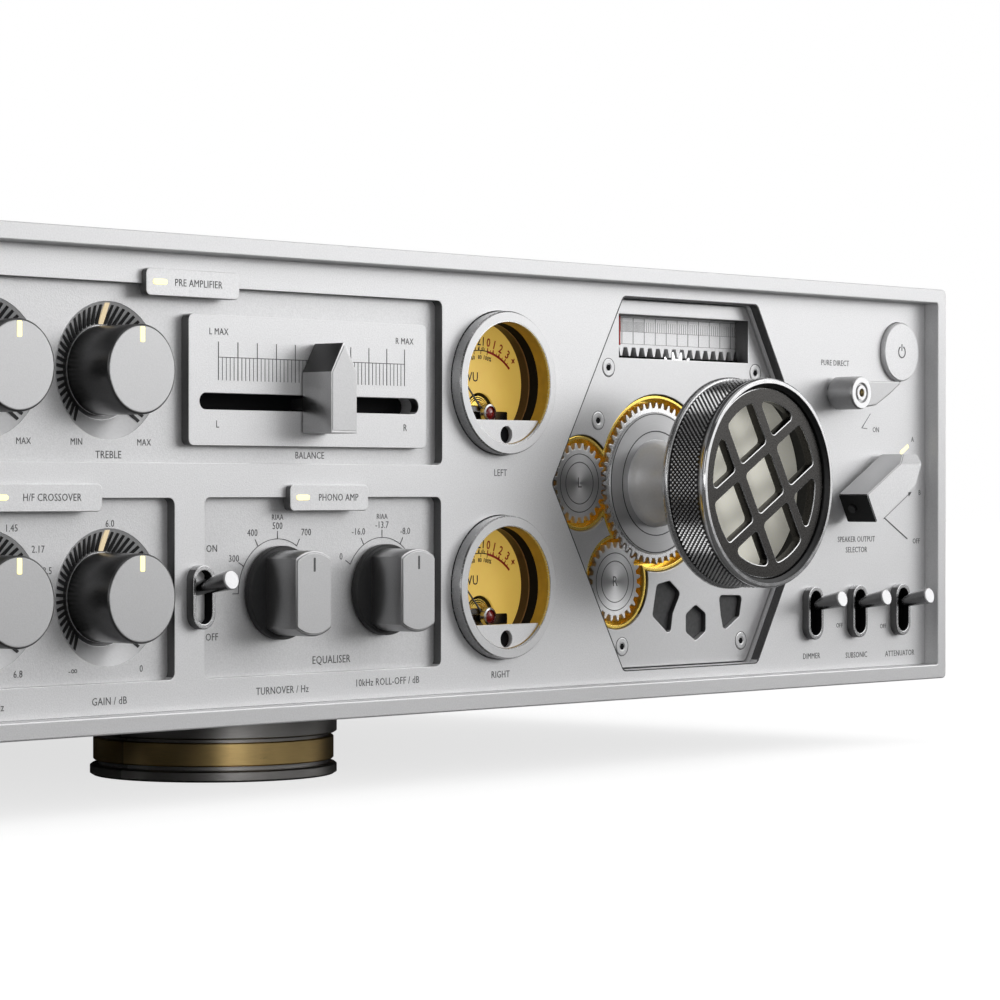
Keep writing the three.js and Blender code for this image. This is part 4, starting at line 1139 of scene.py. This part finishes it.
def volume_knob():
    x, z = DRIVE
    body = "volume_knob"
    cup = [(0, -18.6), (24.4, -18.6), (24.4, -27.6), (25.5, -28.4), (25.9, -27.4), (25.9, -15.7), (0, -15.7)]
    turned("volume_cup", cup, x, z, [CUP], body, "gunmetal", ["volume_rim"], 128)
    turned("volume_lip", soft_corner([(25.3, -28.75), (26.3, -28.75), (26.6, -28.2), (26.6, -27.2),
                                      (25.3, -27.2), (25.3, -28.6)], 0.2), x, z, POLISHED, body,
           "polished_metal", sides=128)
    turned("volume_band", soft_corner([(25.7, -27.15), (26.15, -27.15), (26.15, -26.5), (25.7, -26.5),
                                       (25.7, -27.1)], 0.1), x, z, GUNMETAL, body, "gunmetal", sides=128)
    knurl("volume_knurl", 26, -26.4, -17.1, 1.3, 0.6, x, z, KNURL, body)
    turned("volume_flange", soft_corner([(24, -15.4), (27, -15.4), (27, -16.5), (26.4, -17.0), (24, -17.0),
                                         (24, -15.6)], 0.2), x, z, RING_METAL, body, "polished_metal",
           sides=128)
    # The cream floor glows a little: painted light.
    turned("volume_floor", square(0, 24.2, -18.9, -18.65), x, z, CREAM, body,
           "panel_aluminium", sides=96)
    spin = Matrix.Rotation(math.radians(30), 2)
    windows = [[tuple(Vector((x, z)) + spin @ Vector(p)) for p in round_corners(points, 1.1, 4, 150)]
               for points in lattice_windows()]
    made = plate("volume_lattice", [circle(24.15, x, z, 120), *windows], -27.1, -24.4, SPIDER, body,
                 "gunmetal", ["volume_spider"], bevel=0.28)
    paint(made, RING_METAL, lambda normal, _centre: 0.2 < -normal.y < 0.97)
    profile = [(0, 22), (5, 22), (5, 8.8), (11.4, 8.8), (11.3, 8), (10.6, 6.2), (9.6, 4), (9, 1), (8.85, -2),
               (9.2, -6), (10.3, -9.5), (12, -12.8), (14, -15.1), (0, -15.1)]
    turned("volume_neck", profile, x, z, SATIN, body, "polished_metal", ["volume_shaft"], 96)


# ---- feet, rear and marks ----
def upright(name, profile, x, depth, look, slot, replaces=(), sides=72):
    """Turned about an upright axis: a profile of (radius, height above the ground)."""
    if profile[0][0] > 1e-6:
        profile = [*profile, profile[0]]
    centre = spot(x, depth, 0)
    verts, faces = lathe_data([(r, 0) for r, _ in profile], 0, 0, sides)
    rows = [1 if r < 1e-6 else sides for r, _ in profile]
    heights = [h for (_, h), count in zip(profile, rows) for _ in range(count)]
    origin = spot(0, 0, 0)
    placed = []
    for vertex, height in zip(verts, heights):
        local = vertex - origin
        placed.append(Vector((centre.x + local.x, centre.y + local.z, height * MM)))
    return build(name, placed, faces, look, CASE, slot, replaces)


FEET = {"front": (0, 73), "rear_left": (-165, 300), "rear_right": (165, 300)}


def feet():
    for name, (x, depth) in FEET.items():
        core = [(0, 0), (30.2, 0), (31, 0.5), (31, 2.4), (30.5, 2.8), (28.9, 2.9), (28.9, 10.3), (30.4, 10.4),
                (31, 10.8), (31, 17.3), (30.6, 17.7), (0, 17.7)]
        # The foot metals carry painted highlight and shade in bands up their sides.
        dark = foot_look(f"foot_{name}_dark", (0.36, 0.35, 0.34), 0.35, x, depth)
        gold = foot_look(f"foot_{name}_gold", (0.66, 0.47, 0.2), 0.3, x, depth)
        upright(f"foot_{name}_core", core, x, depth, dark, "foot_steel", [f"foot_{name}"], 96)
        ring = [(29, 3.8), (29.9, 3.8), (30.2, 4.1), (30.2, 9.3), (29.9, 9.6), (29, 9.6)]
        upright(f"foot_{name}_band", ring, x, depth, gold, "brass", [f"foot_{name}_ring"], 96)


POSTS = {"x": -40, "z": 58, "width": 128, "height": 62, "pitch": 30}
INLET = (165, 36)


def rear():
    x, z = POSTS["x"], POSTS["z"]
    w, h = POSTS["width"] / 2, POSTS["height"] / 2
    plate("terminal_plate", [rounded(x - w, x + w, z - h, z + h, 2)], CASE_DEPTH + 0.3, CASE_DEPTH + 2.5,
          BLACK, slot="black_plastic", replaces=["terminal_block"], bevel=0.4)
    for column in range(4):
        for row in (-0.5, 0.5):
            px = x + (column - 1.5) * POSTS["pitch"]
            pz = z + row * POSTS["pitch"]
            binding_post(f"post_{column}_{'low' if row < 0 else 'high'}", px, pz,
                         RED if column % 2 else BLACK)
    carry("mains_inlet", BLACK)
    ix, iz = INLET
    for k, (dx, dz) in enumerate(((0, 3.4), (-6.8, -1.2), (6.8, -1.2))):
        pin = rounded(ix + dx - 1, ix + dx + 1, iz + dz - 2, iz + dz + 2, 0.3, 2)
        plate(f"inlet_pin_{k}", [pin], CASE_DEPTH - 15.9, CASE_DEPTH - 3, POLISHED, slot="polished_metal",
              bevel=0.2)


def binding_post(name, x, z, ring_look):
    base = CASE_DEPTH + 2.4
    turned(name + "_collar", soft_corner(square(0, 6.5, base, base + 2)), x, z, ring_look,
           slot="red_trim" if ring_look is RED else "black_plastic", sides=48)
    turned(name + "_stud", square(0, 2.4, base, base + 5), x, z, BRASS, slot="brass",
           sides=32)
    grip = [polar(6.3 if i % 2 else 5.9, 7.5 * i, x, z) for i in range(48)]
    plate(name + "_cap", [grip], base + 4.6, base + 16.5, BRASS, slot="brass", bevel=0.5)


def skirt_scale(x, labels, name):
    """An arc of ticks round an equaliser knob with its labels: (degrees right of upright, words)."""
    z = LOWER
    angles = [angle for angle, _ in labels]
    shapes = arc_band(12.3, min(angles), max(angles), 0.16, x, z, 40)
    shapes += [line_shape(polar(12.3, 90 - a, x, z), polar(14.2, 90 - a, x, z), 0.2) for a in angles]
    join_flat(name + "_arc", shapes, FLOOR, INK)
    words = []
    for angle, text in labels:
        px, pz = polar({0: 15.3}.get(angle, 15.9), 90 - angle, x, z)
        px += 1.3 if text == "700" else 0
        words.append((text, px, pz, 1.65))
    lettering(name + "_labels", words, FLOOR)


def labels():
    upper = [("TREBLE", -93, 60.9, 1.75), ("BASS", -127.5, 60.9, 1.75), ("BALANCE", -31.1, 61.2, 1.65)]
    for x in (-127.5, -93):
        upper += [("MIN", x - 9.2, 63.7, 1.5), ("MAX", x + 10.4, 63.7, 1.5)]
    upper += [("6.0", -92.6, 45.8, 1.6), ("-∞", -103.2, 13.8, 1.6), ("0", -83.4, 13.6, 1.6),
              ("1.45", -120.4, 45, 1.6), ("2.17", -113, 40.4, 1.6), ("3.5", -110.4, 35.7, 1.6),
              ("6.8", -118.6, 13.7, 1.6), ("1.0", -138.4, 42.4, 1.6), ("0.8", -137.9, 13.7, 1.6),
              ("EQUALISER", -24, 13.5, 1.9), ("ON", -62.1, 39.9, 1.7), ("OFF", -62.1, 19.9, 1.7),
              ("ON", -147, 39.9, 1.7), ("OFF", -147, 19.9, 1.7),
              ("RIAA", -41.5, 46.9, 1.3), ("RIAA", -7, 46.9, 1.3)]
    lettering("recess_words", upper, FLOOR)
    skirt_scale(-41.5, ((-90, ""), (-60, "300"), (-30, "400"), (0, "500"), (30, "700")), "turnover")
    skirt_scale(-7, ((-60, "0"), (-30, "-16.0"), (0, "-13.7"), (30, "-8.0"), (60, "-5")), "rolloff")
    face = [("TURNOVER / Hz", -42.3, 7.2, 1.75), ("10kHz ROLL-OFF / dB", -7.7, 7.8, 1.75),
            ("GAIN / dB", -94.9, 7, 1.75), ("FREQUENCY / kHz", -134, 7, 1.75), ("LEFT", 32.1, 57.4, 1.75),
            ("RIGHT", 32.1, 7.9, 1.75), ("PURE DIRECT", 168.7, 88.1, 1.6), ("ON", 187.6, 70, 1.5),
            ("A", 205, 67.5, 1.5), ("B", 208.4, 52.5, 1.5), ("OFF", 206.8, 38.8, 1.5),
            ("SPEAKER OUTPUT", 178.5, 39.6, 1.6), ("SELECTOR", 178.5, 36.7, 1.6), ("DIMMER", 158, 8, 1.6),
            ("SUBSONIC", 178.5, 7.6, 1.6), ("ATTENUATOR", 198.9, 7.4, 1.6), ("OFF", 170.7, 16, 1.3),
            ("OFF", 191, 15.2, 1.3), ("INPUT", -183, 60.9, 1.75), ("PHONO", -199, 72, 1.5),
            ("LINE 1", -197, 90, 1.5), ("LINE 2", -169, 90, 1.5), ("LINE 3", -167.5, 72, 1.5),
            ("MM", -183, 40.5, 1.6), ("MC", -183, 19, 1.6), ("CARTRIDGE", -183, 14, 1.6)]
    lettering("face_words", face, FACE)
    lines = [line_shape((185, 74.5), (181, 70.5), 0.16), line_shape((181, 70.5), (183.5, 70.3), 0.16),
             line_shape((191.5, 45.5), (202.5, 39.5), 0.35), line_shape((191.2, 45.2), (203.6, 52.3), 0.14),
             [(203.2, 51.4), (204.6, 52.8), (203, 52.6)]]
    join_flat("panel_lines", lines, FACE, INK)
    start, end = polar(23.4, 30, *SELECTOR), polar(27.6, 30, *SELECTOR)
    lamp = line_shape((start[0], start[1] - 0.4), (end[0], end[1] - 0.4), 1)
    join_flat("selector_lamp", [lamp], FACE, LAMP, slot="lamp")


case_shell()
front_panel()
tabs()
for key, (px, pz) in TONE_KNOBS.items():
    tone_knob(key, px, pz)
for key, (px, pz) in SKIRT_KNOBS.items():
    skirt_knob(key, px, pz)
balance()
for key, (px, pz) in TOGGLES.items():
    toggle(key, px, pz)
power_button()
pure_direct()
speaker_selector()
for key, (px, pz) in METERS.items():
    meter(key, px, pz)
hex_plate()
gears()
rack_and_pinion()
volume_knob()
feet()
rear()
labels()


# ---- stage ----
def camera_sees(tree, seen, otherwise, output):
    """Shows the camera one shader and everything else another."""
    path = node(tree, "LightPath")
    mix = node(tree, "MixShader", path.outputs["Is Camera Ray"], otherwise.outputs[0], seen.outputs[0])
    tree.links.new(mix.outputs[0], output.inputs["Surface"])


def floor_look():
    """A pale floor that takes a soft shadow and throws little light back up at the front."""
    made = material("floor_white", (0.55, 0.55, 0.55), 0.8)
    emit(made, (1, 1, 1), 0.62)
    tree = made.node_tree
    shader = tree.nodes["Principled BSDF"]
    place = node(tree, "TexCoord")
    size = node(tree, "Mapping", Vector=place.outputs["Object"], Scale=(0.6, 0.6, 0.6))
    near = node(tree, "TexGradient", size.outputs["Vector"])
    near.gradient_type = "SPHERICAL"
    tree.links.new(span(tree, near.outputs["Fac"], 1.0, 0.72), shader.inputs["Emission Strength"])
    camera_sees(tree, shader, node(tree, "BsdfDiffuse", Color=(0.22, 0.22, 0.22, 1)),
                tree.nodes["Material Output"])
    return made


def studio():
    scene = bpy.context.scene
    scene.view_settings.view_transform = "Standard"
    floor = bpy.data.meshes.new("floor")
    reach = 6
    floor.from_pydata([(-reach, -reach, 0), (reach, -reach, 0), (reach, reach, 0), (-reach, reach, 0)], [],
                      [(0, 1, 2, 3)])
    ground = bpy.data.objects.new("floor", floor)
    floor.materials.append(floor_look())
    scene.collection.objects.link(ground)

    world = bpy.data.worlds.new("studio")
    scene.world = world
    world.use_nodes = True
    tree = world.node_tree
    lit = tree.nodes["Background"]
    lit.inputs["Color"].default_value = (1, 1, 1, 1)
    lit.inputs["Strength"].default_value = 0.065
    camera_sees(tree, node(tree, "Background", (1, 1, 1, 1), 1.0), lit, tree.nodes["World Output"])

    target = Vector((0.02, FRONT_Y, 0.07))
    lights = (("key", (1.4, -1.45, 0.95), (3.2, 2.0), 21), ("top", (0.2, -0.6, 1.6), (1.8, 1.0), 2.6),
              ("low", (1.5, -1.4, 0.45), (1.4, 0.5), 4.5), ("fill", (-0.3, -2.2, 0.5), (1.2, 1.0), 2),
              ("near", (0.8, -0.95, 0.6), (0.9, 0.7), 2.4),
              ("side", (-1.3, -0.75, 0.5), (0.8, 0.8), 2.5), ("foot", (-0.5, -1.1, 0.12), (0.5, 0.12), 0.6),
              ("back", (-1.7, 1.7, 0.8), (2.2, 1.4), 20))
    for name, where, size, power in lights:
        light = bpy.data.lights.new(name, "AREA")
        light.shape = "RECTANGLE"
        light.size, light.size_y = size
        light.energy = power
        lamp = bpy.data.objects.new(name, light)
        lamp.location = where
        lamp.rotation_euler = (target - Vector(where)).to_track_quat("-Z", "Y").to_euler()
        scene.collection.objects.link(lamp)


def camera():
    made = bpy.data.cameras.new("camera")
    made.lens = 125.1
    made.sensor_width = 36
    made.shift_y = -0.009
    made.clip_start, made.clip_end = 0.05, 50
    holder = bpy.data.objects.new("camera", made)
    holder.location = spot(-599.2, -569.8, 53.0)
    holder.rotation_euler = (math.radians(90), 0, math.radians(-47.7))
    bpy.context.scene.collection.objects.link(holder)
    bpy.context.scene.camera = holder


studio()
camera()
